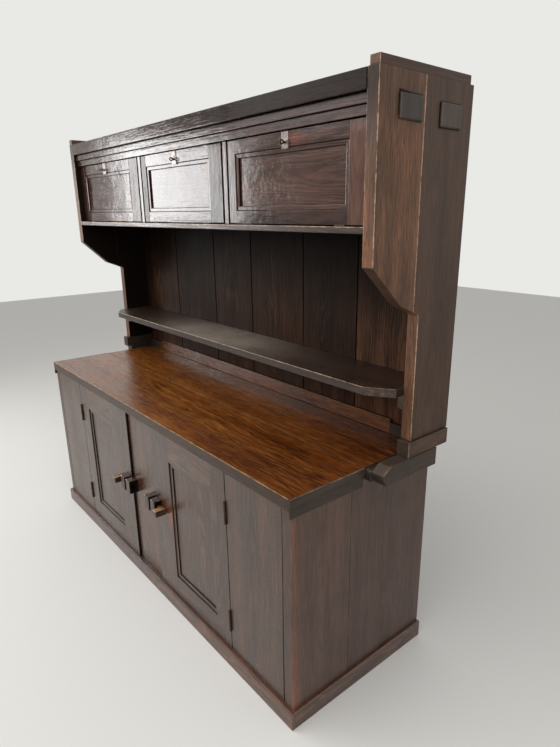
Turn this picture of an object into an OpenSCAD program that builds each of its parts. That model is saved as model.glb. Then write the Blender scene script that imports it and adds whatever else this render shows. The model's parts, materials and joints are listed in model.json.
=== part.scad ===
// Free-standing oak sideboard with a plate rack and three drop-front
// cupboards above. Millimetres, Z up, floor at Z = 0, X = 0 is the middle.
// Depths are written from the front edge of the table top and run back.

/* [Table top] */
// Width of the table top over its end strips
top_width = 1880; // [1400:1:2400]
// Height of the table top above the floor
top_height = 783; // [650:1:950]
// Thickness of the table top
top_thick = 39; // [25:1:60]
// Depth of the whole piece behind the top's front edge
depth = 612; // [480:1:800]
// Distance of the joint between the top's two boards from the front edge
top_joint = 290; // [150:1:450]
// Width of the groove at each joint
joint_groove = 1.6; // [0.6:0.1:4]
// How far the end strip hangs below the top
strip_drop = 21.5; // [5:0.5:40]
// Length of the end strip, which stops where the bearer begins
strip_length = 289; // [150:1:330]

/* [Base cabinet] */
// How far the base sides stand in from the ends of the top
side_inset = 5; // [2:0.5:11]
// How far the base front stands behind the top's front edge
front_inset = 8; // [2:0.5:30]
// Thickness of each base side
side_thick = 39; // [20:1:50]
// Distance of the joint in each base side from its front edge
side_joint = 235; // [120:1:400]
// Thickness of the front planks and the door frames
front_thick = 20; // [16:0.5:30]
// Height of the plinth
plinth_height = 61; // [30:1:120]
// How far the plinth stands out in front of and beside the base
plinth_proud = 12.5; // [6:0.5:25]
// Chamfer along the plinth's upper edge
plinth_chamfer = 4; // [1:0.5:6]
// Thickness of the cabinet floor
floor_thick = 20; // [12:1:30]
// Thickness of the back boards, below and above
back_thick = 18; // [10:1:25]
// How many boards make the back of the base
back_boards = 8; // [4:1:12]
// Thickness of the upright between the two compartments
partition_thick = 22; // [12:1:40]
// Height of the inner shelves above the floor
shelf_height = 390; // [250:1:550]
// Thickness of the inner shelves
shelf_thick = 20; // [12:1:30]
// Depth of the clear space in front of the inner shelves
shelf_setback = 60; // [20:1:200]
// Width of the cleats under the inner shelves
cleat_width = 20; // [10:1:40]
// Height of the cleats under the inner shelves
cleat_height = 28; // [15:1:60]
// Height of the rail behind the top of the doors
rail_height = 45; // [25:1:80]
// Thickness of the rail behind the top of the doors
rail_thick = 22; // [12:1:40]
// Width of the plank between the two doors
centre_width = 208; // [120:1:300]
// How far that plank stands behind the faces of the doors
centre_setback = 9; // [0:0.5:14]

/* [Base doors] */
// Width of each door
door_width = 505; // [400:1:560]
// Gap above and below each door
door_gap = 3; // [1:0.5:6]
// Gap between a door and the plank between the doors
meeting_gap = 2; // [1:0.5:5]
// Width of the stile on the side of the wooden bolt
bolt_stile = 134; // [70:1:160]
// Width of the stile on the hinge side
hinge_stile = 83; // [50:1:120]
// Width of the upper rail
door_top_rail = 102; // [60:1:140]
// Width of the lower rail
door_low_rail = 84; // [50:1:140]
// Width of the stepped moulding round the panel
mould_width = 17; // [8:0.5:30]
// Depth of the moulding below the frame's face
mould_depth = 4.5; // [2:0.5:8]
// Depth of the panel's face below the frame's face
panel_depth = 9.5; // [5:0.5:12]
// Thickness of the panels
panel_thick = 7; // [4:0.5:9]
// How far a panel reaches into its groove
panel_tongue = 8; // [4:0.5:12]

/* [Wooden bolts] */
// Height of the bolts above the floor
bolt_height = 420; // [300:1:600]
// How far the guide and the keeper stand out
guide_depth = 30; // [20:1:45]
// Height of the guide and the keeper
guide_height = 58; // [40:1:80]
// Width of the guide on the door
guide_width = 36; // [20:1:60]
// Distance of the guide from the door's edge
guide_edge = 12; // [6:1:30]
// Width of the keeper on the middle plank
keeper_width = 34; // [16:1:50]
// Height of the bar's section
bar_height = 20; // [12:0.5:30]
// Depth of the bar's section
bar_depth = 16; // [8:0.5:22]
// Width of the bar's square head
head_width = 25; // [16:1:50]
// Height of the bar's square head
head_height = 26; // [22:1:50]
// How far the head stands out from the door
head_out = 48; // [36:1:70]
// Travel of the bar into the keeper
bolt_travel = 18; // [10:0.5:24]
// Gap left between the withdrawn bar and the keeper
bolt_rest_gap = 5; // [2:0.5:8]

/* [Door hinges] */
// Length of each door hinge
hinge_length = 82; // [50:1:110]
// Distance of the lower hinge's middle from the door's lower edge
hinge_from_low = 120; // [70:1:200]
// Distance of the upper hinge's middle from the door's upper edge
hinge_from_high = 143; // [70:1:220]
// Radius of the door hinges' knuckles
knuckle_radius = 4; // [3:0.5:6]
// Radius of the door hinges' pins
pin_radius = 2; // [1:0.25:3]
// Thickness of the door hinges' leaves
leaf_thick = 1.5; // [1:0.25:2.5]

/* [Hutch] */
// Height of the hutch sides without the raised step
hutch_height = 1826; // [1600:1:2100]
// Height of the raised step on each side
step_rise = 22; // [8:1:50]
// Distance of the step from the side's rear edge
step_rear = 15; // [4:1:40]
// Distance of the step from the side's inner face
step_inner = 5; // [2:1:12]
// How far the outer faces of the hutch sides stand outside the ends of the top
hutch_out = 54; // [40:1:120]
// Thickness of the hutch sides
hutch_side = 37; // [24:1:45]
// Depth of the side's upper front edge behind the top's front edge
hutch_front = 232; // [150:1:320]
// Depth of the post's front edge behind the top's front edge
post_front = 430; // [380:1:480]
// Depth at which the side's two boards meet
board_joint = 406; // [340:1:425]
// How far the side's deep part hangs below the upper cabinet
deep_drop = 82; // [20:1:200]
// Height of the slanted cut under the deep part
cut_height = 109; // [60:1:160]
// Depth of that corner behind the top's front edge
cut_depth = 350; // [300:1:390]
// Height of the curve between the cut and the post
cut_rest = 31; // [20:1:60]

/* [Bearers] */
// Thickness of each bearer
bearer_thick = 46; // [25:1:60]
// Height of each bearer
bearer_height = 58; // [40:1:90]
// How far the bearers' tops stand above the table top
bearer_rise = 13; // [4:1:30]
// How far the left bearer's square front stands behind the front of its post
left_setback = 4; // [0:1:40]
// Gap between the outer face of a bearer and the plane of the hutch side
bearer_proud = 10; // [2:1:30]
// Depth of the bearer's nose behind the top's front edge
nose_depth = 300; // [290:1:360]
// Depth of the bearer's rear end behind the top's front edge
bearer_end = 552; // [480:1:600]
// Length of the slope on the nose's upper edge
nose_slope = 32; // [10:1:60]
// Drop of the slope on the nose's upper edge
nose_drop = 16; // [5:1:30]
// Radius under the nose
nose_radius = 20; // [8:1:30]
// Height of the packing between each bearer and the base
packing_height = 40; // [20:1:42]
// Depth of the packing's nose behind the top's front edge
packing_nose = 295; // [290:1:340]
// Radius of the packing's nose
packing_radius = 12; // [4:1:18]
// Height of the foot block under each post
foot_height = 50; // [20:1:80]
// How far the foot block stands out around the post
foot_proud = 8; // [3:1:20]
// How far the foot block stands in front of the post
foot_front = 17; // [5:1:40]

/* [Side plates] */
// Width of each raised plate
plate_width = 86; // [50:1:120]
// Height of each raised plate
plate_height = 58; // [40:1:90]
// How far the plates stand out
plate_thick = 7; // [3:0.5:10]
// Chamfer round the plates' edges
plate_chamfer = 3; // [1:0.5:5]
// Depth of the front plate's middle behind the top's front edge
plate_front = 348; // [290:1:360]
// Distance of the front plate's middle below the side's upper edge
plate_front_drop = 80; // [40:1:140]
// Depth of the rear plate's middle behind the top's front edge
plate_rear = 512; // [470:1:560]
// Distance of the rear plate's middle below the side's upper edge
plate_rear_drop = 85; // [40:1:140]

/* [Upper cabinet] */
// Height of the upper cabinet from its underside to the side's upper edge
cabinet_height = 374; // [320:1:460]
// Thickness of the upper cabinet's floor
cabinet_floor = 17; // [12:1:30]
// Height of the cornice board
cornice_height = 49; // [30:1:70]
// Thickness of the cornice board
cornice_thick = 20; // [12:1:30]
// Step from the cornice back to the fascia
fascia_step = 13; // [5:1:18]
// Height of the fascia
fascia_height = 25; // [12:1:40]
// Step from the fascia back to the door rail
rail_step = 7; // [3:1:15]
// Height of the door rail
door_rail_height = 25; // [15:1:40]
// Step from the door rail back to the flaps
flap_step = 10; // [4:1:20]
// Thickness of the upper cabinet's top
cabinet_top = 22; // [12:1:30]
// Distance of each divider's middle from the middle
divider_place = 313; // [250:1:380]
// Thickness of the dividers
divider_thick = 22; // [18:1:45]
// Depth of the lip behind the top of the flaps
stop_thick = 16; // [8:1:30]
// Height of the lip behind the top of the flaps
stop_height = 12; // [6:1:20]

/* [Flaps] */
// Thickness of the flaps
flap_thick = 20; // [16:0.5:28]
// Gap over the flaps
flap_gap = 2; // [1:0.5:4]
// Gap at each end of a flap
flap_end_gap = 9; // [2:1:12]
// Width of each flap's left stile
flap_left_stile = 39; // [30:1:90]
// Width of each flap's right stile
flap_right_stile = 78; // [40:1:110]
// Width of each flap's upper rail
flap_top_rail = 41; // [40:1:70]
// Width of each flap's lower rail
flap_low_rail = 39; // [30:1:70]
// Width of the moulding round the flap panels
flap_mould = 15; // [6:0.5:20]
// Depth of that moulding below the frame's face
flap_mould_depth = 3; // [2:0.5:6]
// Depth of the flap panels' face below the frame's face
flap_panel_depth = 9.5; // [5:0.5:11]

/* [Flap hinges] */
// Length of each flap hinge
flap_hinge_length = 38; // [25:1:60]
// Distance of each flap hinge's middle from the flap's end
flap_hinge_end = 105; // [60:1:150]
// Radius of the flap hinges' knuckles
flap_knuckle = 3; // [2:0.25:4]
// Radius of the flap hinges' pins
flap_pin = 1.5; // [0.75:0.25:2]
// Thickness of the flap hinges' leaves
flap_leaf = 1.3; // [0.8:0.1:2]

/* [Locks and keys] */
// Width of the lock plate on a flap's face
lock_plate_width = 30; // [20:1:50]
// Height of the lock plate on a flap's face
lock_plate_height = 45; // [30:1:50]
// Thickness of the lock plate
lock_plate_thick = 2; // [0.8:0.1:3]
// Width of the lock's case
case_width = 60; // [40:1:80]
// Height of the lock's case
case_height = 44; // [36:1:60]
// Depth of the lock's case
case_depth = 13; // [11:0.5:14]
// Wall of the lock's case
case_wall = 1.5; // [1:0.1:2.5]
// Distance of the key below the flap's upper edge
key_drop = 29; // [22:1:34]
// Radius of the key's stem
stem_radius = 2.5; // [1.5:0.25:4]
// How far the key stands out from the flap
key_out = 20; // [18:1:45]
// Outer radius of the key's bow
bow_radius = 7; // [6:0.5:16]
// Width of the lock's bolt
lock_bolt_width = 20; // [12:1:40]
// Thickness of the lock's bolt
lock_bolt_thick = 4; // [3:0.5:6]
// Length of the lock's bolt
lock_bolt_length = 28; // [20:1:34]
// Travel of the lock's bolt
lock_bolt_travel = 8; // [4:0.5:10]

/* [Rack] */
// Height of the shelf's underside above the table top
rack_gap = 199; // [120:1:320]
// Thickness of the shelf
rack_thick = 26; // [15:1:40]
// Depth of the shelf's front edge behind the top's front edge
rack_front = 342; // [300:1:400]
// Depth of the shelf
rack_depth = 220.7; // [150:1:300]
// Length of the shelf's clipped corner along the front
clip_width = 85; // [30:1:120]
// Depth of the shelf's clipped corner
clip_depth = 54; // [20:1:80]
// Width of the bracket under each end of the shelf
bracket_width = 20; // [12:1:40]
// Height of the bracket under each end of the shelf
bracket_height = 44; // [20:1:80]
// Width of the grooves in the hutch's back
back_groove = 6; // [2:0.5:12]
// Height of the upstand at the back of the top
upstand_height = 52; // [25:1:90]
// Thickness of the upstand
upstand_thick = 15; // [8:1:30]
// Length of the small block beyond each end of the upstand
block_length = 138; // [40:1:250]
// Height of the small block beyond each end of the upstand
block_height = 40; // [20:1:60]

/* [Hidden] */
$fn = 48;
fit = 0.3;
slide_fit = 0.5;
pin_fit = 0.08;
eps = 0.01;
mid = (depth - (head_out - front_inset)) / 2;
half_top = top_width / 2;
half_base = half_top - side_inset;
half_in = half_base - side_thick;
front_y = front_inset;
front_back = front_y + front_thick;
under_top = top_height - top_thick;
plinth_y = front_y - plinth_proud;
plinth_x = half_base + plinth_proud;
back_y = depth - back_thick;
floor_top = plinth_height + floor_thick;
door_low = plinth_height + door_gap;
door_high = under_top - door_gap;
door_height = door_high - door_low;
hinge_low = door_low + hinge_from_low;
hinge_high = door_high - hinge_from_high;
door_x0 = centre_width / 2 + meeting_gap;
door_x1 = door_x0 + door_width;
hinge_gap = 2 * leaf_thick + 0.4;
hinge_x = door_x1 + hinge_gap / 2;
hinge_y = front_y - knuckle_radius + 0.5;
plank_x0 = door_x1 + hinge_gap;
guide_x0 = door_x0 + guide_edge;
guide_x1 = guide_x0 + guide_width;
keeper_x1 = centre_width / 2 - 1;
keeper_x0 = keeper_x1 - keeper_width;
bar_tip = keeper_x1 + bolt_rest_gap;
bar_y1 = front_y - 4;
bar_y0 = bar_y1 - bar_depth;
head_x0 = guide_x1 + bolt_travel + 1;
half_out = half_top + hutch_out;
half_hin = half_out - hutch_side;
bearer_top = top_height + bearer_rise;
bearer_x1 = half_out + bearer_proud;
bearer_x0 = bearer_x1 - bearer_thick;
foot_low = bearer_top + fit;
foot_top = foot_low + foot_height;
cabinet_low = hutch_height - cabinet_height;
deep_low = cabinet_low - deep_drop;
cut_corner = deep_low - cut_height;
cut_end = cut_corner - cut_rest;
cabinet_up = cabinet_low + cabinet_floor;
cornice_low = hutch_height - cornice_height;
fascia_y = hutch_front + fascia_step - 2;
fascia_low = cornice_low - fascia_height;
rail_y = fascia_y + rail_step;
rail_low = fascia_low - door_rail_height;
flap_y = rail_y + flap_step;
flap_back = flap_y + flap_thick;
flap_axis_z = cabinet_up + flap_leaf + 0.2;
flap_axis_y = flap_y - 1.5;
flap_low = cabinet_up + 2 * flap_leaf + 0.4;
flap_high = rail_low - flap_gap;
flap_height = flap_high - flap_low;
hutch_back_y = rack_front + rack_depth + fit;
rack_low = top_height + rack_gap;
upstand_half = half_hin - 4 - block_length;
back_low = top_height + fit;
lock_z = flap_high - key_drop;
case_y1 = flap_back;
case_y0 = case_y1 - case_depth;
bit_y0 = case_y0 + case_wall + 0.3;
bit_thick = 4;
bit_reach = 9;
bolt_y1 = case_y1 - case_wall - 0.3;
bolt_y0 = bolt_y1 - lock_bolt_thick;
wood = [0.36, 0.24, 0.16];
wood_dark = [0.27, 0.18, 0.13];
wood_top = [0.50, 0.30, 0.12];
iron = [0.30, 0.29, 0.28];
brass = [0.62, 0.50, 0.26];
flap_ends = [
    [-(half_hin - fit - flap_gap), -(divider_place + divider_thick / 2 + flap_end_gap)],
    [-(divider_place - divider_thick / 2 - flap_end_gap), divider_place - divider_thick / 2 - flap_end_gap],
    [divider_place + divider_thick / 2 + flap_end_gap, half_hin - fit - flap_gap]
];
back_shares = [-0.9331, -0.6322, -0.2696, 0.0282, 0.373, 0.6646];

// Moves a piece from depths measured at the top's front edge to the row frame.
module set_back() {
    translate([0, -mid, 0]) children();
}

// A square-edged board between two corners.
module board(a, b) {
    translate([min(a[0], b[0]), min(a[1], b[1]), min(a[2], b[2])])
        cube([abs(b[0] - a[0]), abs(b[1] - a[1]), abs(b[2] - a[2])]);
}

// The piece itself and its mirror image on the other side.
module both() {
    children();
    mirror([1, 0, 0]) children();
}

// A bar along X whose section is drawn in the Y, Z plane.
module along_x(x0, x1) {
    translate([x0, 0, 0])
        rotate([90, 0, 90])
            linear_extrude(height = x1 - x0) children();
}

// A bar along Y whose section is drawn in the X, Z plane.
module along_y(y0, y1) {
    translate([0, y1, 0])
        rotate([90, 0, 0])
            linear_extrude(height = y1 - y0) children();
}

// Round rod along X.
module rod_x(x0, x1, y, z, r) {
    translate([x0, y, z]) rotate([0, 90, 0]) cylinder(h = x1 - x0, r = r);
}

// Round rod along Y.
module rod_y(y0, y1, x, z, r) {
    translate([x, y1, z]) rotate([90, 0, 0]) cylinder(h = y1 - y0, r = r);
}

// Each base side is two wide boards glued edge to edge, with the joint's groove outside.
module base_side() {
    color(wood) set_back() difference() {
        board([half_in, front_y, 0], [half_base, depth, under_top - fit]);
        along_groove(half_base, front_y + side_joint);
    }
}

module along_groove(x, y) {
    translate([x, y, -1])
        linear_extrude(height = under_top + 2)
            polygon([[1, -joint_groove / 2 - 0.6], [-joint_groove, 0], [1, joint_groove / 2 + 0.6]]);
}

module base_side_right() { base_side(); }
module base_side_left() { mirror([1, 0, 0]) base_side(); }

// The front plinth laps the ends of the sides, and the two returns butt behind it.
module plinth() {
    ch = plinth_chamfer;
    h = plinth_height;
    color(wood_dark) set_back() {
        difference() {
            union() {
                along_x(-plinth_x, plinth_x)
                    polygon([[plinth_y, 0], [front_y - fit, 0], [front_y - fit, h],
                        [plinth_y + ch, h], [plinth_y, h - ch]]);
                board([-half_in + fit, front_y - 1, 0], [half_in - fit, front_back, h]);
            }
            both() translate([plinth_x, 0, h])
                rotate([0, 45, 0])
                    cube([ch * sqrt(2), 4 * depth, ch * sqrt(2)], center = true);
        }
        both() along_y(front_y, depth)
            polygon([[half_base + fit, 0], [plinth_x, 0], [plinth_x, h - ch],
                [plinth_x - ch, h], [half_base + fit, h]]);
    }
}

module base_floor() {
    color(wood) set_back()
        board([-half_in + fit, front_back + fit, plinth_height + fit], [half_in - fit, back_y - fit, floor_top]);
}

// Upright boards nailed to the floor's edge, the rail and the top.
module base_back() {
    w = (2 * half_in - 2 * fit) / back_boards;
    color(wood_dark) set_back()
        for (i = [0:back_boards - 1])
            difference() {
                board([-half_in + fit + i * w + fit / 2, back_y, 2],
                    [-half_in + fit + (i + 1) * w - fit / 2, depth, under_top - fit]);
                translate([-half_in + fit + i * w, depth, 0])
                    rotate([0, 0, 45])
                        cube([3, 3, 2 * top_height], center = true);
            }
}

module base_partition() {
    color(wood) set_back()
        board([-partition_thick / 2, front_back + rail_thick + 2 * fit, floor_top + fit],
            [partition_thick / 2, back_y - fit, under_top - fit]);
}

module base_shelves() {
    color(wood) set_back() both()
        board([partition_thick / 2 + fit, front_back + shelf_setback, shelf_height],
            [half_in - fit, back_y - fit, shelf_height + shelf_thick]);
}

module shelf_cleats() {
    color(wood_dark) set_back() both()
        for (x = [partition_thick / 2 + fit, half_in - fit - cleat_width])
            board([x, front_back + shelf_setback + 10, shelf_height - fit - cleat_height],
                [x + cleat_width, back_y - fit, shelf_height - fit]);
}

module plank_knuckle_cut() {
    for (z = [hinge_low, hinge_high])
        translate([hinge_x, hinge_y, z - hinge_length / 2 - 1])
            cylinder(h = hinge_length + 2, r = knuckle_radius + 0.5);
}

module front_side_planks() {
    color(wood) set_back() both() difference() {
        board([plank_x0, front_y, plinth_height + fit], [half_in - fit, front_back, under_top - fit]);
        plank_knuckle_cut();
    }
}

module centre_plank() {
    color(wood) set_back()
        board([-centre_width / 2, front_y + centre_setback, plinth_height + fit],
            [centre_width / 2, front_back, under_top - fit]);
}

module front_rail() {
    color(wood_dark) set_back()
        board([-half_in + fit, front_back + fit, under_top - fit - rail_height],
            [half_in - fit, front_back + fit + rail_thick, under_top - fit]);
}

// Two wide boards glued edge to edge, with a worn joint.
module table_top() {
    color(wood_top) set_back() difference() {
        board([-half_base, 0, under_top], [half_base, depth, top_height]);
        along_x(-half_top, half_top)
            polygon([[top_joint - joint_groove, top_height + 1],
                [top_joint, top_height - joint_groove], [top_joint + joint_groove, top_height + 1]]);
    }
}

// Each end strip covers the ends of the boards and hangs a little over the base side.
module end_strips() {
    color(wood_top) set_back() both()
        board([half_base + fit, 0, under_top - strip_drop], [half_top, strip_length, top_height]);
}

// A bearer beam on each side, packed out from the base and rounded under its nose.
module bearer() {
    low = bearer_top - bearer_height;
    difference() {
        along_x(bearer_x0, bearer_x1)
            polygon([[nose_depth + nose_slope, bearer_top], [nose_depth, bearer_top - nose_drop],
                [nose_depth, low], [bearer_end, low], [bearer_end, bearer_top]]);
        difference() {
            board([bearer_x0 - 1, nose_depth - 1, low - 1],
                [bearer_x1 + 1, nose_depth + nose_radius, low + nose_radius]);
            rod_x(bearer_x0 - 2, bearer_x1 + 2, nose_depth + nose_radius, low + nose_radius, nose_radius);
        }
    }
    along_x(half_base + fit, bearer_x0 + eps)
        polygon([[packing_nose, low + packing_radius], [packing_nose + packing_radius / 3, low + packing_radius / 3],
            [packing_nose + packing_radius, low], [bearer_end, low], [bearer_end, low + packing_height],
            [packing_nose + packing_radius, low + packing_height],
            [packing_nose + packing_radius / 3, low + packing_height - packing_radius / 3],
            [packing_nose, low + packing_height - packing_radius]]);
}

// The left bearer has no nose: it is cut off square under its foot block.
module bearers() {
    color(wood) set_back() {
        bearer();
        mirror([1, 0, 0]) intersection() {
            bearer();
            board([0, post_front + left_setback, 0], [2 * half_out, depth, hutch_height]);
        }
    }
}

module foot_blocks() {
    color(wood) set_back() both()
        board([half_hin, post_front - foot_front, foot_low],
            [half_out + foot_proud, depth - 4, foot_top]);
}

// A deep front board and a full-height rear board, cut to the outline of the side.
module hutch_side_right() {
    color(wood) set_back() difference() {
        union() {
            along_x(half_hin, half_out)
                polygon([[hutch_front, hutch_height], [hutch_front, deep_low], [cut_depth, cut_corner],
                    [post_front - 6, cut_end + 2], [post_front, cut_end - 6], [post_front, foot_top + fit],
                    [depth, foot_top + fit], [depth, hutch_height]]);
            board([half_hin + step_inner, hutch_front + 1, hutch_height - 1],
                [half_out, depth - step_rear, hutch_height + step_rise]);
        }
        translate([half_out, board_joint, foot_top])
            linear_extrude(height = hutch_height)
                polygon([[1, -joint_groove], [-joint_groove, 0], [1, joint_groove]]);
    }
}

module hutch_side_left() { mirror([1, 0, 0]) hutch_side_right(); }

module side_plate(y, z) {
    w = plate_width / 2;
    h = plate_height / 2;
    translate([half_out + fit, y, z]) intersection() {
        board([0, -w, -h], [plate_thick, w, h]);
        along_y(-w, w)
            polygon([[0, -h], [plate_thick - plate_chamfer, -h], [plate_thick, -h + plate_chamfer],
                [plate_thick, h - plate_chamfer], [plate_thick - plate_chamfer, h], [0, h]]);
        translate([0, 0, -h])
            linear_extrude(height = 2 * h)
                polygon([[0, -w], [plate_thick - plate_chamfer, -w], [plate_thick, -w + plate_chamfer],
                    [plate_thick, w - plate_chamfer], [plate_thick - plate_chamfer, w], [0, w]]);
    }
}

module side_plates() {
    color(iron) set_back() both() {
        side_plate(plate_front, hutch_height - plate_front_drop);
        side_plate(plate_rear, hutch_height - plate_rear_drop);
    }
}

module cornice() {
    color(wood) set_back()
        board([-half_hin + fit, hutch_front - 2, cornice_low + fit],
            [half_hin - fit, hutch_front - 2 + cornice_thick, hutch_height - 1]);
}

module fascia() {
    color(wood) set_back()
        board([-half_hin + fit, fascia_y, fascia_low + fit], [half_hin - fit, flap_back + fit, cornice_low]);
}

// The rail over the flaps carries a lip behind them and a pocket over each lock.
module door_rail() {
    color(wood) set_back() difference() {
        union() {
            board([-half_hin + fit, rail_y, rail_low], [half_hin - fit, flap_back + fit + stop_thick, fascia_low]);
            board([-half_hin + fit, flap_back + fit, rail_low - stop_height],
                [half_hin - fit, flap_back + fit + stop_thick, rail_low + 1]);
        }
        for (e = flap_ends)
            board([lock_x(e) - lock_bolt_width / 2 - 1.5, bolt_y0 - 1, rail_low - 1],
                [lock_x(e) + lock_bolt_width / 2 + 1.5, bolt_y1 + 1.5, rail_low + lock_bolt_travel + 2]);
        for (s = [-1, 1])
            board([s * divider_place - divider_thick / 2 - fit, flap_back + fit - 1, rail_low - stop_height - 1],
                [s * divider_place + divider_thick / 2 + fit, flap_back + stop_thick + 2, rail_low]);
    }
}

module hutch_top() {
    color(wood) set_back()
        board([-half_hin + fit, hutch_front - 2 + cornice_thick + fit, cornice_low + fit],
            [half_hin - fit, hutch_back_y - fit, cornice_low + fit + cabinet_top]);
}

module flap_knuckle_cuts() {
    for (e = flap_ends, s = [0, 1])
        rod_x(flap_hinge_x(e, s) - flap_hinge_length / 2 - 1, flap_hinge_x(e, s) + flap_hinge_length / 2 + 1,
            flap_axis_y, flap_axis_z, flap_knuckle + 0.5);
}

module hutch_floor() {
    color(wood) set_back() difference() {
        board([-half_hin + fit, hutch_front, cabinet_low], [half_hin - fit, hutch_back_y - fit, cabinet_up]);
        flap_knuckle_cuts();
    }
}

module dividers() {
    color(wood_dark) set_back() both()
        board([divider_place - divider_thick / 2, flap_y, cabinet_up + fit],
            [divider_place + divider_thick / 2, hutch_back_y - fit, rail_low - fit]);
}

// Upright boards of unequal width, rebated so that a dark groove shows at each joint.
module hutch_back() {
    lines = concat([-half_hin + fit], half_hin * back_shares, [half_hin - fit]);
    n = len(lines) - 1;
    color(wood_dark) set_back()
        for (i = [0:n - 1]) difference() {
            board([lines[i] + (i > 0 ? fit / 2 : 0), hutch_back_y, back_low],
                [lines[i + 1] - (i < n - 1 ? fit / 2 : 0), hutch_back_y + back_thick, cornice_low]);
            if (i > 0)
                board([lines[i] - 1, hutch_back_y - 1, back_low - 1],
                    [lines[i] + back_groove / 2, hutch_back_y + 5, cornice_low + 1]);
            if (i < n - 1)
                board([lines[i + 1] - back_groove / 2, hutch_back_y - 1, back_low - 1],
                    [lines[i + 1] + 1, hutch_back_y + 5, cornice_low + 1]);
        }
}

module mid_shelf() {
    w = half_hin - fit;
    color(wood) set_back()
        translate([0, 0, rack_low])
            linear_extrude(height = rack_thick)
                polygon([[-w + clip_width, rack_front], [w - clip_width, rack_front],
                    [w, rack_front + clip_depth], [w, hutch_back_y - fit],
                    [-w, hutch_back_y - fit], [-w, rack_front + clip_depth]]);
}

module shelf_brackets() {
    color(wood) set_back() both()
        board([half_hin - fit - bracket_width, post_front, rack_low - fit - bracket_height],
            [half_hin - fit, hutch_back_y - fit, rack_low - fit]);
}

module upstand() {
    color(wood_top) set_back()
        board([-upstand_half, hutch_back_y - fit - upstand_thick, top_height + fit],
            [upstand_half, hutch_back_y - fit, top_height + upstand_height]);
}

module upstand_blocks() {
    color(wood_dark) set_back() both()
        board([upstand_half + fit, hutch_back_y - fit - upstand_thick - 1, top_height + fit],
            [half_hin - 4, hutch_back_y - fit, top_height + block_height]);
}

// A frame with a stepped moulding and a groove for a loose panel. Its front is at Y = 0.
module frame(w, h, t, ls, rs, bs, ts, mw, md, pd) {
    ax = ls + mw;
    bx = w - rs - mw;
    az = bs + mw;
    bz = h - ts - mw;
    difference() {
        cube([w, t, h]);
        board([ls, -1, bs], [w - rs, md, h - ts]);
        board([ax, -1, az], [bx, t + 1, bz]);
        board([ax - panel_tongue, pd - fit, az - panel_tongue],
            [bx + panel_tongue, pd + panel_thick + fit, bz + panel_tongue]);
    }
}

module panel(w, h, ls, rs, bs, ts, mw, pd) {
    g = panel_tongue - 2 * fit;
    board([ls + mw - g, pd, bs + mw - g], [w - rs - mw + g, pd + panel_thick, h - ts - mw + g]);
}

// The right door, hung on its right.
module door_frame() {
    color(wood) set_back() difference() {
        translate([door_x0, front_y, door_low])
            frame(door_width, door_height, front_thick, bolt_stile, hinge_stile,
                door_low_rail, door_top_rail, mould_width, mould_depth, panel_depth);
        plank_knuckle_cut();
    }
}

module door_panel() {
    color(wood) set_back()
        translate([door_x0, front_y, door_low])
            panel(door_width, door_height, bolt_stile, hinge_stile,
                door_low_rail, door_top_rail, mould_width, panel_depth);
}

module right_door_frame() { door_frame(); }
module left_door_frame() { mirror([1, 0, 0]) door_frame(); }
module right_door_panel() { door_panel(); }
module left_door_panel() { mirror([1, 0, 0]) door_panel(); }

// Mortised guide for the sliding bar.
module bolt_guide() {
    color(wood_dark) set_back() difference() {
        board([guide_x0, front_y - guide_depth, bolt_height - guide_height / 2],
            [guide_x1, front_y, bolt_height + guide_height / 2]);
        board([guide_x0 - 1, bar_y0 - slide_fit, bolt_height - bar_height / 2 - slide_fit],
            [guide_x1 + 1, bar_y1 + slide_fit, bolt_height + bar_height / 2 + slide_fit]);
    }
}

module bolt_guide_right() { bolt_guide(); }
module bolt_guide_left() { mirror([1, 0, 0]) bolt_guide(); }

module bolt_keepers() {
    color(wood_dark) set_back() both() difference() {
        board([keeper_x0, front_y - guide_depth, bolt_height - guide_height / 2],
            [keeper_x1, front_y + centre_setback, bolt_height + guide_height / 2]);
        board([keeper_x0 - 1, bar_y0 - 1, bolt_height - bar_height / 2 - 1],
            [keeper_x1 + 1, bar_y1 + 1, bolt_height + bar_height / 2 + 1]);
    }
}

// The sliding bar with its square head.
module bolt() {
    color(brass) set_back() {
        board([bar_tip, bar_y0, bolt_height - bar_height / 2], [head_x0 + 1, bar_y1, bolt_height + bar_height / 2]);
        board([head_x0, front_y - head_out, bolt_height - head_height / 2],
            [head_x0 + head_width, front_y - 2, bolt_height + head_height / 2]);
    }
}

module bolt_right() { bolt(); }
module bolt_left() { mirror([1, 0, 0]) bolt(); }

// One butt hinge standing at the origin. The fixed half carries the pin.
module fixed_half(len, kr, pr, lt, reach) {
    k = len / 3;
    difference() {
        union() {
            for (z = [0, len - k]) translate([0, 0, z]) cylinder(h = k, r = kr);
            translate([0.2, 0, 0]) cube([lt, reach, len]);
        }
        board([-kr - 1, -kr - 1, k], [kr + 1, kr + 0.3, len - k]);
    }
    translate([0, 0, k - 1]) cylinder(h = len - 2 * k + 2, r = pr);
}

module moving_half(len, kr, pr, lt, reach) {
    k = len / 3;
    difference() {
        union() {
            translate([0, 0, k + 0.3]) cylinder(h = len - 2 * k - 0.6, r = kr);
            translate([-0.2 - lt, 0, 0]) cube([lt, reach, len]);
        }
        for (z = [-1, len - k - 0.3]) board([-kr - 1, -kr - 1, z], [kr + 1, kr + 0.3, z + k + 1.3]);
        translate([0, 0, -1]) cylinder(h = len + 2, r = pr + pin_fit);
    }
}

module at_door_hinges() {
    for (z = [hinge_low, hinge_high])
        translate([hinge_x, hinge_y, z - hinge_length / 2]) children();
}

door_reach = front_back - hinge_y - 2;
flap_reach = flap_thick + 1.5 - 3;

// Lays a standing hinge along the foot of a flap, with its moving half above.
module at_flap_hinge(e, s) {
    translate([flap_hinge_x(e, s) - flap_hinge_length / 2, flap_axis_y, flap_axis_z])
        rotate([0, 90, 0])
            children();
}

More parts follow.
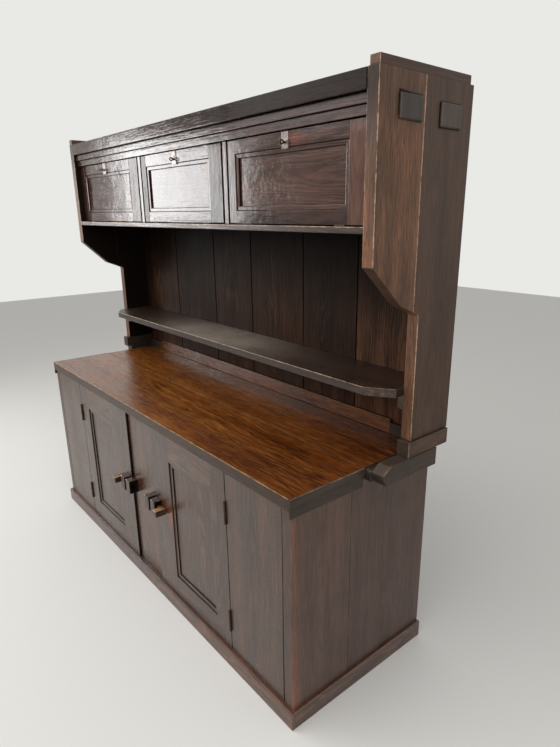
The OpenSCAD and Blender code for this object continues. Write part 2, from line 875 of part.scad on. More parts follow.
module plank_leaves() {
    color(iron) set_back() both()
        at_door_hinges() fixed_half(hinge_length, knuckle_radius, pin_radius, leaf_thick, door_reach);
}

module floor_leaves() {
    color(iron) set_back()
        for (e = flap_ends, s = [0, 1])
            at_flap_hinge(e, s) fixed_half(flap_hinge_length, flap_knuckle, flap_pin, flap_leaf, flap_reach);
}

module door_leaves() {
    color(iron) set_back()
        at_door_hinges() moving_half(hinge_length, knuckle_radius, pin_radius, leaf_thick, door_reach);
}

module right_door_leaves() { door_leaves(); }
module left_door_leaves() { mirror([1, 0, 0]) door_leaves(); }

function flap_hinge_x(e, s) = s == 0 ? e[0] + flap_hinge_end : e[1] - flap_hinge_end;
function lock_x(e) = (e[0] + flap_left_stile + e[1] - flap_right_stile) / 2;

module flap_frame(e) {
    w = e[1] - e[0];
    x = lock_x(e);
    color(wood) set_back() difference() {
        translate([e[0], flap_y, flap_low])
            frame(w, flap_height, flap_thick, flap_left_stile, flap_right_stile,
                flap_low_rail, flap_top_rail, flap_mould, flap_mould_depth, flap_panel_depth);
        flap_knuckle_cuts();
        board([x - case_width / 2 - fit, case_y0 - fit, flap_high - case_height - fit],
            [x + case_width / 2 + fit, case_y1 + 1, flap_high + 1]);
        rod_y(flap_y - 1, case_y0 + 1, x, lock_z, stem_radius + 2);
        board([x - 2.4, flap_y - 1, lock_z - bit_reach - 1.5], [x + 2.4, case_y0 + 1, lock_z]);
    }
}

module flap_panel(e) {
    w = e[1] - e[0];
    color(wood) set_back()
        translate([e[0], flap_y, flap_low])
            panel(w, flap_height, flap_left_stile, flap_right_stile,
                flap_low_rail, flap_top_rail, flap_mould, flap_panel_depth);
}

module flap_leaves(e) {
    color(iron) set_back()
        for (s = [0, 1])
            at_flap_hinge(e, s) moving_half(flap_hinge_length, flap_knuckle, flap_pin, flap_leaf, flap_reach);
}

// Plate on the face, and a hollow case let into the back of the upper rail.
module flap_lock(e) {
    x = lock_x(e);
    z0 = flap_high - case_height;
    color(brass) set_back() {
        difference() {
            board([x - lock_plate_width / 2, flap_y - lock_plate_thick, flap_high - 1 - lock_plate_height],
                [x + lock_plate_width / 2, flap_y, flap_high - 1]);
            rod_y(flap_y - 5, flap_y + 1, x, lock_z, stem_radius + pin_fit);
            board([x - 1.6, flap_y - 5, lock_z - bit_reach - 1], [x + 1.6, flap_y + 1, lock_z]);
        }
        difference() {
            board([x - case_width / 2, case_y0, z0], [x + case_width / 2, case_y1, flap_high]);
            board([x - case_width / 2 + case_wall, case_y0 + case_wall, z0 + case_wall],
                [x + case_width / 2 - case_wall, case_y1 - case_wall, flap_high - case_wall]);
            rod_y(case_y0 - 1, case_y0 + case_wall + 1, x, lock_z, stem_radius + pin_fit);
            board([x - 1.6, case_y0 - 1, lock_z - bit_reach - 1], [x + 1.6, case_y0 + case_wall + 1, lock_z]);
            board([x - lock_bolt_width / 2 - fit, bolt_y0 - fit, flap_high - case_wall - 1],
                [x + lock_bolt_width / 2 + fit, bolt_y1 + 0.2, flap_high + 1]);
        }
    }
}

// A plain cabinet key: a ring bow, a stem with a collar and a bit inside the case.
module flap_key(e) {
    x = lock_x(e);
    y0 = flap_y - key_out;
    color(brass) set_back() {
        difference() {
            translate([x - 1.5, y0 + bow_radius, lock_z])
                rotate([0, 90, 0]) cylinder(h = 3, r = bow_radius);
            translate([x - 3, y0 + bow_radius, lock_z])
                rotate([0, 90, 0]) cylinder(h = 6, r = bow_radius - 3.5);
        }
        rod_y(y0 + 2 * bow_radius - 1, bit_y0 + bit_thick, x, lock_z, stem_radius);
        rod_y(y0 + 2 * bow_radius - 1, y0 + 2 * bow_radius + 2, x, lock_z, stem_radius + 1.2);
        board([x - 1.2, bit_y0, lock_z - bit_reach], [x + 1.2, bit_y0 + bit_thick, lock_z]);
    }
}

module lock_bolt(e) {
    x = lock_x(e);
    color(iron) set_back()
        board([x - lock_bolt_width / 2, bolt_y0, flap_high - fit - lock_bolt_length],
            [x + lock_bolt_width / 2, bolt_y1, flap_high - fit]);
}

module flap_left_frame() { flap_frame(flap_ends[0]); }
module flap_middle_frame() { flap_frame(flap_ends[1]); }
module flap_right_frame() { flap_frame(flap_ends[2]); }
module flap_left_panel() { flap_panel(flap_ends[0]); }
module flap_middle_panel() { flap_panel(flap_ends[1]); }
module flap_right_panel() { flap_panel(flap_ends[2]); }
module flap_left_leaves() { flap_leaves(flap_ends[0]); }
module flap_middle_leaves() { flap_leaves(flap_ends[1]); }
module flap_right_leaves() { flap_leaves(flap_ends[2]); }
module lock_left() { flap_lock(flap_ends[0]); }
module lock_middle() { flap_lock(flap_ends[1]); }
module lock_right() { flap_lock(flap_ends[2]); }
module key_left() { flap_key(flap_ends[0]); }
module key_middle() { flap_key(flap_ends[1]); }
module key_right() { flap_key(flap_ends[2]); }
module lock_bolt_left() { lock_bolt(flap_ends[0]); }
module lock_bolt_middle() { lock_bolt(flap_ends[1]); }
module lock_bolt_right() { lock_bolt(flap_ends[2]); }

base_side_left();
base_side_right();
plinth();
base_floor();
base_back();
base_partition();
base_shelves();
shelf_cleats();
front_side_planks();
centre_plank();
front_rail();
table_top();
end_strips();
bearers();
foot_blocks();
hutch_side_left();
hutch_side_right();
side_plates();
cornice();
fascia();
door_rail();
hutch_top();
hutch_floor();
dividers();
hutch_back();
mid_shelf();
shelf_brackets();
upstand();
upstand_blocks();
left_door_frame();
left_door_panel();
right_door_frame();
right_door_panel();
bolt_guide_left();
bolt_guide_right();
bolt_keepers();
bolt_left();
bolt_right();
plank_leaves();
floor_leaves();
left_door_leaves();
right_door_leaves();
flap_left_frame();
flap_left_panel();
flap_middle_frame();
flap_middle_panel();
flap_right_frame();
flap_right_panel();
flap_left_leaves();
flap_middle_leaves();
flap_right_leaves();
lock_left();
lock_middle();
lock_right();
key_left();
key_middle();
key_right();
lock_bolt_left();
lock_bolt_middle();
lock_bolt_right();
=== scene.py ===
"""Looks of the oak sideboard: boards with worn arrises, stepped mouldings, iron hinges, brass locks.

Sizes are in millimetres, as in the part's source: X to the right from the middle, Y back from the
table top's front edge, Z up from the floor.
"""
import json
import math

import bpy
import numpy as np
from mathutils import Matrix, Vector


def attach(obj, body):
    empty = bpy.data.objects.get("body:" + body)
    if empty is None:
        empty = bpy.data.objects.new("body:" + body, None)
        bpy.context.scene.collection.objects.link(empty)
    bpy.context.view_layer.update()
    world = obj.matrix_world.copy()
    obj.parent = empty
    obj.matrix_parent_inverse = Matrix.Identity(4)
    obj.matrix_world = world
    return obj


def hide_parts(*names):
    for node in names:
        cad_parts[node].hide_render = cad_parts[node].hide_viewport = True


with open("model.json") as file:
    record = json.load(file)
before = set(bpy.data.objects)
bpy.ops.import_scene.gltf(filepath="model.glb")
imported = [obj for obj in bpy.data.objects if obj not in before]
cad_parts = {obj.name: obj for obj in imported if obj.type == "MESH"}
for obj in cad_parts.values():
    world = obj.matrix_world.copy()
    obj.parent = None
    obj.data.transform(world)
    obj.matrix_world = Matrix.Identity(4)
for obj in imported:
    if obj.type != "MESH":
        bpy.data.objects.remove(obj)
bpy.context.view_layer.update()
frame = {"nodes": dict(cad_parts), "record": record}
record = frame["record"]
NODE_BODY = {n: b for b, nodes in record["behaviour"]["bodies"].items() for n in nodes}
X, Y, Z = range(3)
FAR = 99  # distance that stands for no worn arris near

# Sizes that several pieces share
MID = 286  # depth of the row frame's origin
FIT = 0.3  # gap between faces that meet
DEPTH = 612
TOP_HEIGHT = 783
UNDER_TOP = TOP_HEIGHT - 39
HALF_TOP = 940
HALF_BASE = HALF_TOP - 5
HALF_IN = HALF_BASE - 39  # inner face of the base's sides
BASE_FRONT = 8
FRONT_BACK = BASE_FRONT + 20  # rear face of the front planks
BASE_BACK = DEPTH - 18
PLINTH_HEIGHT = 61
FLOOR_TOP = PLINTH_HEIGHT + 20
HALF_HUTCH = 994
HALF_HIN = HALF_HUTCH - 37  # inner face of the hutch's sides
HUTCH_FRONT = 232
HUTCH_BACK = 563
HUTCH_HEIGHT = 1826
BOARD_JOINT = 406  # joint between the two boards of a hutch side
BEARER_TOP = TOP_HEIGHT + 13
BEARER_LOW = BEARER_TOP - 58
BEARER_END = 552
FOOT_LOW = BEARER_TOP + FIT
FOOT_TOP = FOOT_LOW + 50
CABINET_LOW = HUTCH_HEIGHT - 374
CABINET_UP = CABINET_LOW + 17
CORNICE_LOW = HUTCH_HEIGHT - 49
FASCIA_LOW = CORNICE_LOW - 25
RAIL_LOW = FASCIA_LOW - 25
FLAP_FRONT = 260
RACK_LOW = TOP_HEIGHT + 199
RACK_TOP = RACK_LOW + 26
RACK_FRONT = 342

# Where the boards between those faces end
BASE_END = HALF_IN - FIT
BASE_TOP = UNDER_TOP - FIT
BASE_LOW = PLINTH_HEIGHT + FIT
BASE_REAR = BASE_BACK - FIT
HUTCH_END = HALF_HIN - FIT
HUTCH_REAR = HUTCH_BACK - FIT
BACK_LOW = TOP_HEIGHT + FIT


def place(points):
    """Millimetres in the source's depths to metres in the row frame."""
    return (np.asarray(points, float) - np.array([0.0, MID, 0.0])) / 1000.0


def linked(name, data):
    obj = bpy.data.objects.new(name, data)
    bpy.context.scene.collection.objects.link(obj)
    return obj


def linear(code):
    """sRGB hex to linear RGBA."""
    c = np.array([int(code[i:i + 2], 16) for i in (1, 3, 5)]) / 255.0
    c = np.where(c <= 0.04045, c / 12.92, ((c + 0.055) / 1.055) ** 2.4)
    return (*c.tolist(), 1.0)


# Boards

class Stock:
    """Sawn pieces gathered into one mesh: points, quads, and five values for each point, which are the
    grain coordinates, the distance to the nearest arris, the distance to an arris that is worn bare
    (on the bolts and their blocks, a painted glint), the board's own tone, and a cast from grimy (-1)
    to rubbed warm (+1); the grimy end also paints shade, and on the shelf glare."""

    def __init__(self):
        self.points = []
        self.quads = []
        self.values = {label: [] for label in ("grain", "edge", "rub", "cast", "tone")}
        self.count = 0

    def add(self, points, quads, grain, edge, tone=0.0, rub=FAR, cast=0.0):
        self.points.append(points)
        self.quads.append(quads + self.count)
        self.count += len(points)
        self.values["grain"].append(grain)
        for label, value in (("edge", edge), ("rub", rub), ("cast", cast), ("tone", tone)):
            self.values[label].append(np.broadcast_to(value, len(points)))


def grain_of(points, axis, seed, lean=None, heart=None):
    """Board coordinates in metres: along the grain, across the wide face, through the thickness.
    Each board starts at its own place in the log, given by its seed. The log's heart lies some
    millimetres under the board, and its depth changes by lean for each unit of length."""
    size = points.max(0) - points.min(0)
    others = sorted((a for a in range(3) if a != axis), key=lambda a: -size[a])
    order = [axis] + others
    width = size[order[1]]
    rng = np.random.default_rng(seed)
    along, aside, under = rng.uniform(0, 40.0), rng.uniform(-0.25, 0.25) * width, rng.uniform(0, 30.0)
    heart = 35 + under if heart is None else heart
    lean = rng.uniform(-0.05, 0.05) if lean is None else lean
    g = points[:, order] - points.min(0)[order]
    g[:, 1] += aside - width / 2
    g[:, 2] += heart + lean * g[:, 0]
    g[:, 0] += along * 1000
    return g / 1000.0


def steps(lo, hi, r, extra=()):
    """Grid lines along one side of a board: dense in the rounding, then wider and wider inwards, and
    about 90 mm apart in the middle."""
    half = (hi - lo) / 2
    near = [0, 0.12 * r, 0.4 * r, r]
    near += [d for d in (2.5, 4, 8, 16, 32, 60) if r * 1.3 < d < half * 0.92]
    left = lo + np.array(near)
    right = hi - np.array(near)
    inner = hi - lo - 2 * near[-1]
    n = int(np.clip(inner / 90, 1, 14))
    core = np.linspace(lo + near[-1], hi - near[-1], n + 1)[1:-1]
    lines = np.concatenate([left, core, right, [e for e in extra if lo < e < hi]])
    return np.unique(np.round(lines, 4))


def box_grid(lo, hi, axes):
    """Points and outward quads of a box whose faces are cut along the given lines, with the points
    that the faces share merged."""
    faces_p, faces_q, start = [], [], 0
    for a in range(3):
        b, c = (a + 1) % 3, (a + 2) % 3
        u, v = np.meshgrid(axes[b], axes[c], indexing="ij")
        index = np.arange(u.size).reshape(u.shape)
        quad = np.stack([index[:-1, :-1], index[1:, :-1], index[1:, 1:], index[:-1, 1:]], -1).reshape(-1, 4)
        for side, value in ((0, lo[a]), (1, hi[a])):
            p = np.empty((u.size, 3))
            p[:, a], p[:, b], p[:, c] = value, u.ravel(), v.ravel()
            faces_p.append(p)
            faces_q.append((quad if side else quad[:, ::-1]) + start)
            start += u.size
    points, quads = np.concatenate(faces_p), np.concatenate(faces_q)
    _, first, back = np.unique(np.round(points, 3), axis=0, return_index=True, return_inverse=True)
    return points[first], back.reshape(-1)[quads]


def pierced(stock, lo, hi, points, quads, hole, axis, seed):
    """The quads without those over the hole (y0, z0, y1, z1) on the two faces across X. The hole's
    four walls, dark with painted shade, go to the stock."""
    y0, z0, y1, z1 = hole
    x, y, z = points[quads].mean(1).T
    over = (y > y0) & (y < y1) & (z > z0) & (z < z1) & ((x < lo[X] + 1e-3) | (x > hi[X] - 1e-3))
    loop = [(y0, z0), (y1, z0), (y1, z1), (y0, z1)]
    wall = [(x, *loop[(i + k) % 4]) for i in range(4) for k in (0, 1) for x in (lo[X], hi[X])]
    wall = np.array(wall, float)
    turn = np.arange(16).reshape(4, 4)[:, [0, 1, 3, 2]]
    stock.add(wall, turn, grain_of(wall, axis, seed), 9.0, cast=-1.0)
    return quads[~over]


def value_at(points, value):
    """A value for all points, or a function's values at their x, y and z."""
    return value(*points.T) if callable(value) else value


def bare_and_glint_distance(points, rub):
    """Distance to the nearest arris that is worn bare, which on the bolts and their blocks is a painted
    glint. An arris is a point with None for the axis that it runs along, or a function of x, y and z."""
    worn = np.full(len(points), FAR)
    for line in rub:
        if callable(line):
            away = line(*points.T)
        else:
            known = [a for a in range(3) if line[a] is not None]
            away = np.linalg.norm(points[:, known] - np.array([line[a] for a in known]), axis=1)
        worn = np.minimum(worn, away)
    return worn


def board(stock, lo, hi, axis, r=1.0, seed=0, tone=0.0, lines=None, shape=None, rub=(), cast=0.0,
          lean=None, heart=None, hole=None):
    """A board with rounded arrises. A point p of the square box goes to q + r (p - q) / |p - q|,
    where q is p held inside the box that is smaller by r on every side. The edge distance is the
    second least distance from p to the six faces. A shape moves the rounded points: it takes and
    gives x, y, z and the edge distance. A hole (y0, z0, y1, z1) runs through the board along X."""
    lo, hi = np.minimum(lo, hi).astype(float), np.maximum(lo, hi).astype(float)
    r = min(r, 0.45 * (hi - lo).min())
    lines = lines or {}
    if hole is not None:
        lines = {**lines, Y: [*lines.get(Y, ()), hole[0], hole[2]], Z: [*lines.get(Z, ()), hole[1], hole[3]]}
    points, quads = box_grid(lo, hi, [steps(lo[a], hi[a], r, lines.get(a, ())) for a in range(3)])
    if hole is not None:
        quads = pierced(stock, lo, hi, points, quads, hole, axis, seed)
    edge = np.sort(np.minimum(points - lo, hi - points), axis=1)[:, 1]
    q = np.clip(points, lo + r, hi - r)
    d = points - q
    rounded = q + r * d / np.maximum(np.linalg.norm(d, axis=1, keepdims=True), 1e-9)
    if shape is not None:
        *moved, edge = shape(*rounded.T, edge)
        rounded = np.stack(moved, 1)
    stock.add(rounded, quads, grain_of(points, axis, seed, lean, heart), edge, value_at(points, tone),
              bare_and_glint_distance(points, rub), value_at(points, cast))


def ring(stock, low, high, front, profile, seed=0, tone=0.0):
    """A moulding round a rectangular opening in the X, Z plane, mitred at its corners. The profile is
    a closed list of (inset from the opening's edge, depth behind the face, painted shade, which darkens
    the drops where the moulding's shadow falls); each of its points is carried round the rectangle
    that is smaller by its inset."""
    inset, depth, painted_shade = np.array(profile, float).T
    inset = inset[:, None]
    x0, x1 = low[0] + inset, high[0] - inset
    z0, z1 = low[1] + inset, high[1] - inset
    corners = [(x0, z0), (x1, z0), (x1, z1), (x0, z1)]
    t = np.linspace(0, 1, 9)
    index = np.arange(len(profile) * len(t)).reshape(len(profile), len(t))
    after = np.roll(index, -1, axis=0)
    quads = np.stack([index[:, :-1], index[:, 1:], after[:, 1:], after[:, :-1]], -1).reshape(-1, 4)
    edge = np.repeat(np.where(depth < 1.3, 0.5, 6.0), len(t))
    for side in range(4):
        (ax, az), (bx, bz) = corners[side], corners[(side + 1) % 4]
        x, z = ax + (bx - ax) * t, az + (bz - az) * t
        points = np.stack([x, front + depth[:, None] + 0 * t, z], -1).reshape(-1, 3)
        stock.add(points, quads, grain_of(points, (X, Z)[side % 2], seed + side), edge, tone,
                  cast=-np.repeat(painted_shade, len(t)))


def surface(name, stock, node, material):
    """One object from the gathered pieces. Vertex normals are summed from the faces' area vectors,
    so that the flats stay flat and only the rounding is smooth."""
    metres = place(np.concatenate(stock.points))
    quads = np.concatenate(stock.quads)
    mesh = bpy.data.meshes.new(name)
    mesh.vertices.add(len(metres))
    mesh.vertices.foreach_set("co", metres.ravel())
    mesh.loops.add(quads.size)
    mesh.loops.foreach_set("vertex_index", quads.ravel().astype(np.int32))
    mesh.polygons.add(len(quads))
    mesh.polygons.foreach_set("loop_start", np.arange(0, quads.size, 4, dtype=np.int32))
    mesh.polygons.foreach_set("use_smooth", np.ones(len(quads), bool))
    mesh.update(calc_edges=True)
    a, b, c, d = (metres[quads[:, i]] for i in range(4))
    area = np.cross(c - a, d - b)
    normal = np.zeros_like(metres)
    for i in range(4):
        np.add.at(normal, quads[:, i], area)
    normal /= np.maximum(np.linalg.norm(normal, axis=1, keepdims=True), 1e-12)
    for label, values in stock.values.items():
        values = np.concatenate(values)
        kind, key = ("FLOAT_VECTOR", "vector") if values.ndim == 2 else ("FLOAT", "value")
        layer = mesh.attributes.new(label, kind, "POINT")
        layer.data.foreach_set(key, values.ravel().astype(np.float32))
    mesh.normals_split_custom_set_from_vertices(normal.tolist())
    obj = linked(name, mesh)
    obj.data.materials.append(material)
    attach(obj, NODE_BODY[node])
    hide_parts(node)


# Materials

def add(tree, kind, inputs=(), **settings):
    """Adds a shader node. Its inputs, in their order or by name or number, are values, sockets, or
    nodes that stand for their first output."""
    node = tree.nodes.new("ShaderNode" + kind)
    for key, value in settings.items():
        setattr(node, key, value)
    for key, value in inputs.items() if isinstance(inputs, dict) else enumerate(inputs):
        if isinstance(value, bpy.types.Node):
            value = value.outputs[0]
        if isinstance(value, bpy.types.NodeSocket):
            tree.links.new(value, node.inputs[key])
        else:
            node.inputs[key].default_value = value
    return node


def ramp(node, stops):
    """Sets a colour ramp's stops from (place, hex colour)."""
    band = node.color_ramp
    while len(band.elements) > len(stops):
        band.elements.remove(band.elements[-1])
    while len(band.elements) < len(stops):
        band.elements.new(1.0)
    for element, (at, code) in zip(band.elements, stops):
        element.position = at
        element.color = linear(code)
    return node


def empty_material(name):
    material = bpy.data.materials.new(name)
    material.use_nodes = True
    material.node_tree.nodes.clear()
    return material


def stretched(tree, at, scale, detail=3.0, roughness=0.6):
    """Noise over the board, with its own scale along, across and through it, in cycles a metre."""
    moved = add(tree, "VectorMath", (at, scale), operation="MULTIPLY")
    return add(tree, "TexNoise",
               {"Vector": moved, "Scale": 1.0, "Detail": detail, "Roughness": roughness})


def growth_rings(tree, at, moved, ring_mm):
    """Rings round the log's heart: the fraction of radius / ring width, with a ripple of 45 mm, as a
    colour that is dark where a ring ends."""
    split = add(tree, "SeparateXYZ", (moved,)).outputs
    across = add(tree, "Math", (split["Y"], split["Y"]), operation="MULTIPLY")
    radius = add(tree, "Math", (split["Z"], split["Z"], across), operation="MULTIPLY_ADD")
    radius = add(tree, "Math", (radius,), operation="SQRT")
    ripple = stretched(tree, at, (3.0, 22.0, 22.0))
    turns = add(tree, "Math", (radius, 1000.0 / ring_mm, 0.0), operation="MULTIPLY_ADD")
    turns = add(tree, "Math", (ripple, 2.6, turns), operation="MULTIPLY_ADD")
    cycle = add(tree, "Math", (turns,), operation="FRACT")
    return ramp(add(tree, "ValToRGB", (cycle,)),
                [(0.0, "#404040"), (0.12, "#101010"), (0.4, "#8c8c8c"), (0.75, "#e6e6e6"), (1.0, "#404040")])


def worn_along(tree, tint, label, spots, spot_range, reach, strength, colour):
    """The colour laid over the tint near an arris: full at the arris, and gone at a distance in
    millimetres that grows from spot to spot."""
    away = add(tree, "Attribute", attribute_name=label).outputs["Fac"]
    wide = add(tree, "MapRange", (spots, *spot_range, *reach))
    thin = add(tree, "MapRange", (away, 0.0, wide, strength, 0.0))
    return add(tree, "Mix", {0: thin, 6: tint, 7: linear(colour)}, data_type="RGBA").outputs[2]


def oak(name, dark, middle, light, warm="#7a4526", dirt_and_painted_light="#3a332d", worn="#7d6350", bare_and_glint="#b79b7c",
        rough=0.36, wear=0.35, reach=2.0, ring_mm=8.0, figure=0.3, flecks=0.14, relief=0.5, sheen=0.5,
        coat=0.0, warp=0.0):
    """Fumed or stained oak, planed, polished and worn. Growth rings lie round the log's heart, which
    wanders along the board, so that flat faces show long arches; open pores make dark streaks along
    the grain; arrises are rubbed a little lighter, and the ones that hands and moves touch are bare.
    A map range takes its value, the range that it comes from and the range that it goes to."""
    material = empty_material(name)
    tree = material.node_tree
    where = add(tree, "TexCoord").outputs["Object"]
    at = add(tree, "Attribute", attribute_name="grain").outputs["Vector"]
    # slow wander of the heart, over about 0.6 m of length
    drift = stretched(tree, at, (1.7, 5.0, 5.0), 3.0, 0.55).outputs["Color"]
    shake = add(tree, "VectorMath", (drift, (0.5, 0.5, 0.5)), operation="SUBTRACT")
    shake = add(tree, "VectorMath", (shake, (0.0, 0.08, 0.06)), operation="MULTIPLY")
    moved = add(tree, "VectorMath", (at, shake), operation="ADD")
    rings = growth_rings(tree, at, moved, ring_mm)

    # open pores, drawn 1.5 to 3 mm wide so that they show at this size, and streaks of 10 and 60 mm
    pores = add(tree, "ValToRGB", (stretched(tree, moved, (13.0, 300.0, 300.0), 3.0, 0.62),))
    pores = ramp(pores, [(0.36, "#000000"), (0.6, "#ffffff")])
    fine = stretched(tree, at, (5.0, 95.0, 95.0), 3.0, 0.55)
    broad = stretched(tree, at, (1.1, 17.0, 17.0), 4.0, 0.6)
    tone = add(tree, "Attribute", attribute_name="tone").outputs["Fac"]
    value = 0.3 - figure * 0.5
    for source, share in ((rings, figure), (pores, flecks), (fine, 0.45), (broad, 0.75)):
        value = add(tree, "Math", (source, share, value), operation="MULTIPLY_ADD")
    value = add(tree, "Math", (value, -0.4 - 0.5 * flecks), operation="ADD")
    value = add(tree, "Math", (tone, 0.2, value), operation="MULTIPLY_ADD")
    tint = ramp(add(tree, "ValToRGB", (value,)), [(0.15, dark), (0.48, middle), (0.85, light)])

    # the cast: rubbed warm in loose streaks where it is above 0, and where it is below, under matt dirt
    # and painted shade; on the shelf it paints glare instead
    patch = add(tree, "TexNoise", {"Vector": where, "Scale": 6.0, "Detail": 4.0, "Roughness": 0.6})
    cast = add(tree, "Attribute", attribute_name="cast").outputs["Fac"]
    loose = add(tree, "MapRange", (broad, 0.35, 0.65, 0.55, 1.25))
    hot = add(tree, "Math", (cast, loose), operation="MULTIPLY", use_clamp=True)
    streak = add(tree, "Math", (pores, 0.35, value), operation="MULTIPLY_ADD")
    lit = add(tree, "MapRange", (streak, 0.3, 1.05, 0.35, 1.7))
    glow = add(tree, "VectorMath", {0: linear(warm)[:3], "Scale": lit}, operation="SCALE")
    tint = add(tree, "Mix", {0: hot, 6: tint, 7: glow}, data_type="RGBA").outputs[2]
    cold = add(tree, "Math", (cast, -1.0), operation="MULTIPLY", use_clamp=True)
    tint = add(tree, "Mix", {0: cold, 6: tint, 7: linear(dirt_and_painted_light)}, data_type="RGBA").outputs[2]

    # lighter and darker patches of 50 to 200 mm, then the wear along the arrises
    dim = add(tree, "MapRange", (patch, 0.3, 0.7, 0.8, 1.15))
    tint = add(tree, "VectorMath", {0: tint, "Scale": dim}, operation="SCALE")
    spots = add(tree, "TexNoise", {"Vector": where, "Scale": 45.0, "Detail": 5.0, "Roughness": 0.7})
    tint = worn_along(tree, tint, "edge", spots, (0.4, 0.7), (0.1, 1.6 * reach), wear, worn)
    # the bare colour, near white on the bolts and their blocks, also paints glints along arrises
    tint = worn_along(tree, tint, "rub", spots, (0.38, 0.66), (0.6, 4.2), 0.85, bare_and_glint)

    gloss = add(tree, "MapRange", (patch, 0.3, 0.7, rough - 0.05, rough + 0.08))
    gloss = add(tree, "Math", (pores, -0.08, gloss), operation="MULTIPLY_ADD")
    height = fine
    for source, share in ((pores, 0.12), (broad, 0.8), (patch, warp)):
        height = add(tree, "Math", (source, share, height), operation="MULTIPLY_ADD")
    normal = add(tree, "Bump", {"Strength": 1.0, "Distance": 0.001 * relief, "Height": height})
    shine = add(tree, "MapRange", (cold, 0.0, 1.0, sheen, 0.25 * sheen))
    skin = add(tree, "MapRange", (cold, 0.0, 1.0, coat, 0.0))
    shader = add(tree, "BsdfPrincipled", {
        "Base Color": tint, "Roughness": gloss, "Normal": normal, "Specular IOR Level": shine,
        "IOR": 1.5, "Coat Weight": skin, "Coat Roughness": 0.08})
    add(tree, "OutputMaterial", (shader,))
    return material


def metal(name, clean, dull, metallic, rough, scale=60.0):
    """Cast or pressed metal with tarnish in patches and small pits, the scale in cycles a metre."""
    material = empty_material(name)
    tree = material.node_tree
    where = add(tree, "TexCoord").outputs["Object"]
    patch = add(tree, "TexNoise", {"Vector": where, "Scale": scale, "Detail": 5.0, "Roughness": 0.65})
    colour = ramp(add(tree, "ValToRGB", (patch,)), [(0.35, dull), (0.65, clean)])
    gloss = add(tree, "MapRange", (patch, 0.3, 0.7, rough + 0.15, rough - 0.05))
    pits = add(tree, "TexNoise", {"Vector": where, "Scale": scale * 8, "Detail": 3.0})
    relief = add(tree, "Bump", {"Strength": 0.2, "Distance": 0.0003, "Height": pits})
    shader = add(tree, "BsdfPrincipled", {
        "Base Color": colour, "Roughness": gloss, "Normal": relief, "Metallic": metallic})
    add(tree, "OutputMaterial", (shader,))
    return material


# dark stained oak of the fronts: red brown under a thin wax that takes the light of the floor
CARCASS = oak("stained oak", "#291811", "#472e21", "#664735", warm="#73381b", dirt_and_painted_light="#150c08",
              rough=0.32, sheen=0.75, reach=1.2, figure=0.45, relief=0.6)
# the sides are duller: brown, with rubbed patches that show tan lines of grain
SIDE_GRAIN = dict(wear=0.2, reach=1.2, ring_mm=6.0, figure=0.16, relief=0.3)
SIDES = oak("stained oak, rubbed", "#35261d", "#49362b", "#5d4738", warm="#86583a", dirt_and_painted_light="#160f0b",
            bare_and_glint="#c2a48b", rough=0.45, sheen=0.28, **SIDE_GRAIN)
# lower down the sides are painted redder, and made glossier, for the light that they take from the floor
LOW_SIDES = oak("stained oak, low", "#362823", "#4a3830", "#5e4a40", warm="#7b4a38", dirt_and_painted_light="#1f1611",
                bare_and_glint="#b39c80", rough=0.42, sheen=0.42, **SIDE_GRAIN)
# the table top is waxed, amber brown with dark streaks
TOP = oak("waxed oak", "#34170a", "#683712", "#95602b", dirt_and_painted_light="#3a322b", worn="#8c6a48", bare_and_glint="#b89a78",
          rough=0.3, figure=0.24, ring_mm=9.0, flecks=0.34)
# flaps and upper rails are polished: dark red brown, and glossy enough to mirror the window
POLISHED = oak("polished oak", "#24130f", "#422b23", "#604236", warm="#8a3a28", dirt_and_painted_light="#150b08",
               worn="#7a5f55", rough=0.14, wear=0.2, sheen=0.22, coat=0.16, warp=6.0)
# parts in the dark: back boards, inner boards, small blocks
SHADE = oak("dark oak", "#150b06", "#2b1a10", "#4b3322", warm="#5c3e2d", dirt_and_painted_light="#0b0604", worn="#463327",
            rough=0.55, wear=0.3, sheen=0.1, figure=0.4)
# the open shelf: its colour for dirt and painted light is the pale grey of the painted glare,
# with some dust, on the front of its top
SHELF = oak("worn shelf oak", "#1f130f", "#322119", "#483529", dirt_and_painted_light="#8b7f74", worn="#8c7b6e",
            rough=0.36, wear=0.4, sheen=0.6)
# grey brown edging, bearers and end plates
EDGING = oak("dark oak edging", "#282019", "#3a2f27", "#4c4035", warm="#7d5334", worn="#6b5a4a",
             bare_and_glint="#94785c", rough=0.42, wear=0.3, reach=1.2, figure=0.15, sheen=0.3)
# nearly black raised plates, greyer and flatter than the sides that they stand on
PLATE = oak("ebonised oak", "#27211c", "#393029", "#483d33", worn="#3c3731", rough=0.5, wear=0.1,
            figure=0.1, sheen=0.4)
# bolts and their blocks: dark, with the faces that are handled rubbed to tan, and the pale bare
# colour painting glints along their arrises
HANDLED = oak("handled oak", "#24150d", "#402820", "#63432f", warm="#a5764c", dirt_and_painted_light="#100a07", worn="#a08468",
              bare_and_glint="#f0ddc6", rough=0.35, wear=0.5)
# brown black hinges, dull silvery lock plates, and keys gone almost black
IRON = metal("blackened iron", "#463728", "#2a2018", 0.5, 0.5)
BRASS = metal("greyed brass", "#8f8580", "#625854", 0.7, 0.28, 90.0)
KEY = metal("old dark key", "#40372a", "#221c15", 0.7, 0.42, 120.0)

# The pieces

SEED = [100]  # grows with each board, so that each is cut from its own place in the log


def part(low, high, along, **options):
    """A board for wood(): two corners, the axis of its grain, and board()'s options. With same=True it
    continues the board before it."""
    return low, high, along, options


def wood(node, material, *parts):
    """The boards of one CAD node, as one object."""
    stock = Stock()
    for low, high, along, options in parts:
        options = dict(options)
        SEED[0] += 0 if options.pop("same", False) else 7
        options.setdefault("seed", SEED[0])
        options.setdefault("tone", np.random.default_rng(SEED[0]).uniform(-0.6, 0.6))
        board(stock, low, high, along, **options)
    surface("oak_" + node, stock, node, material)


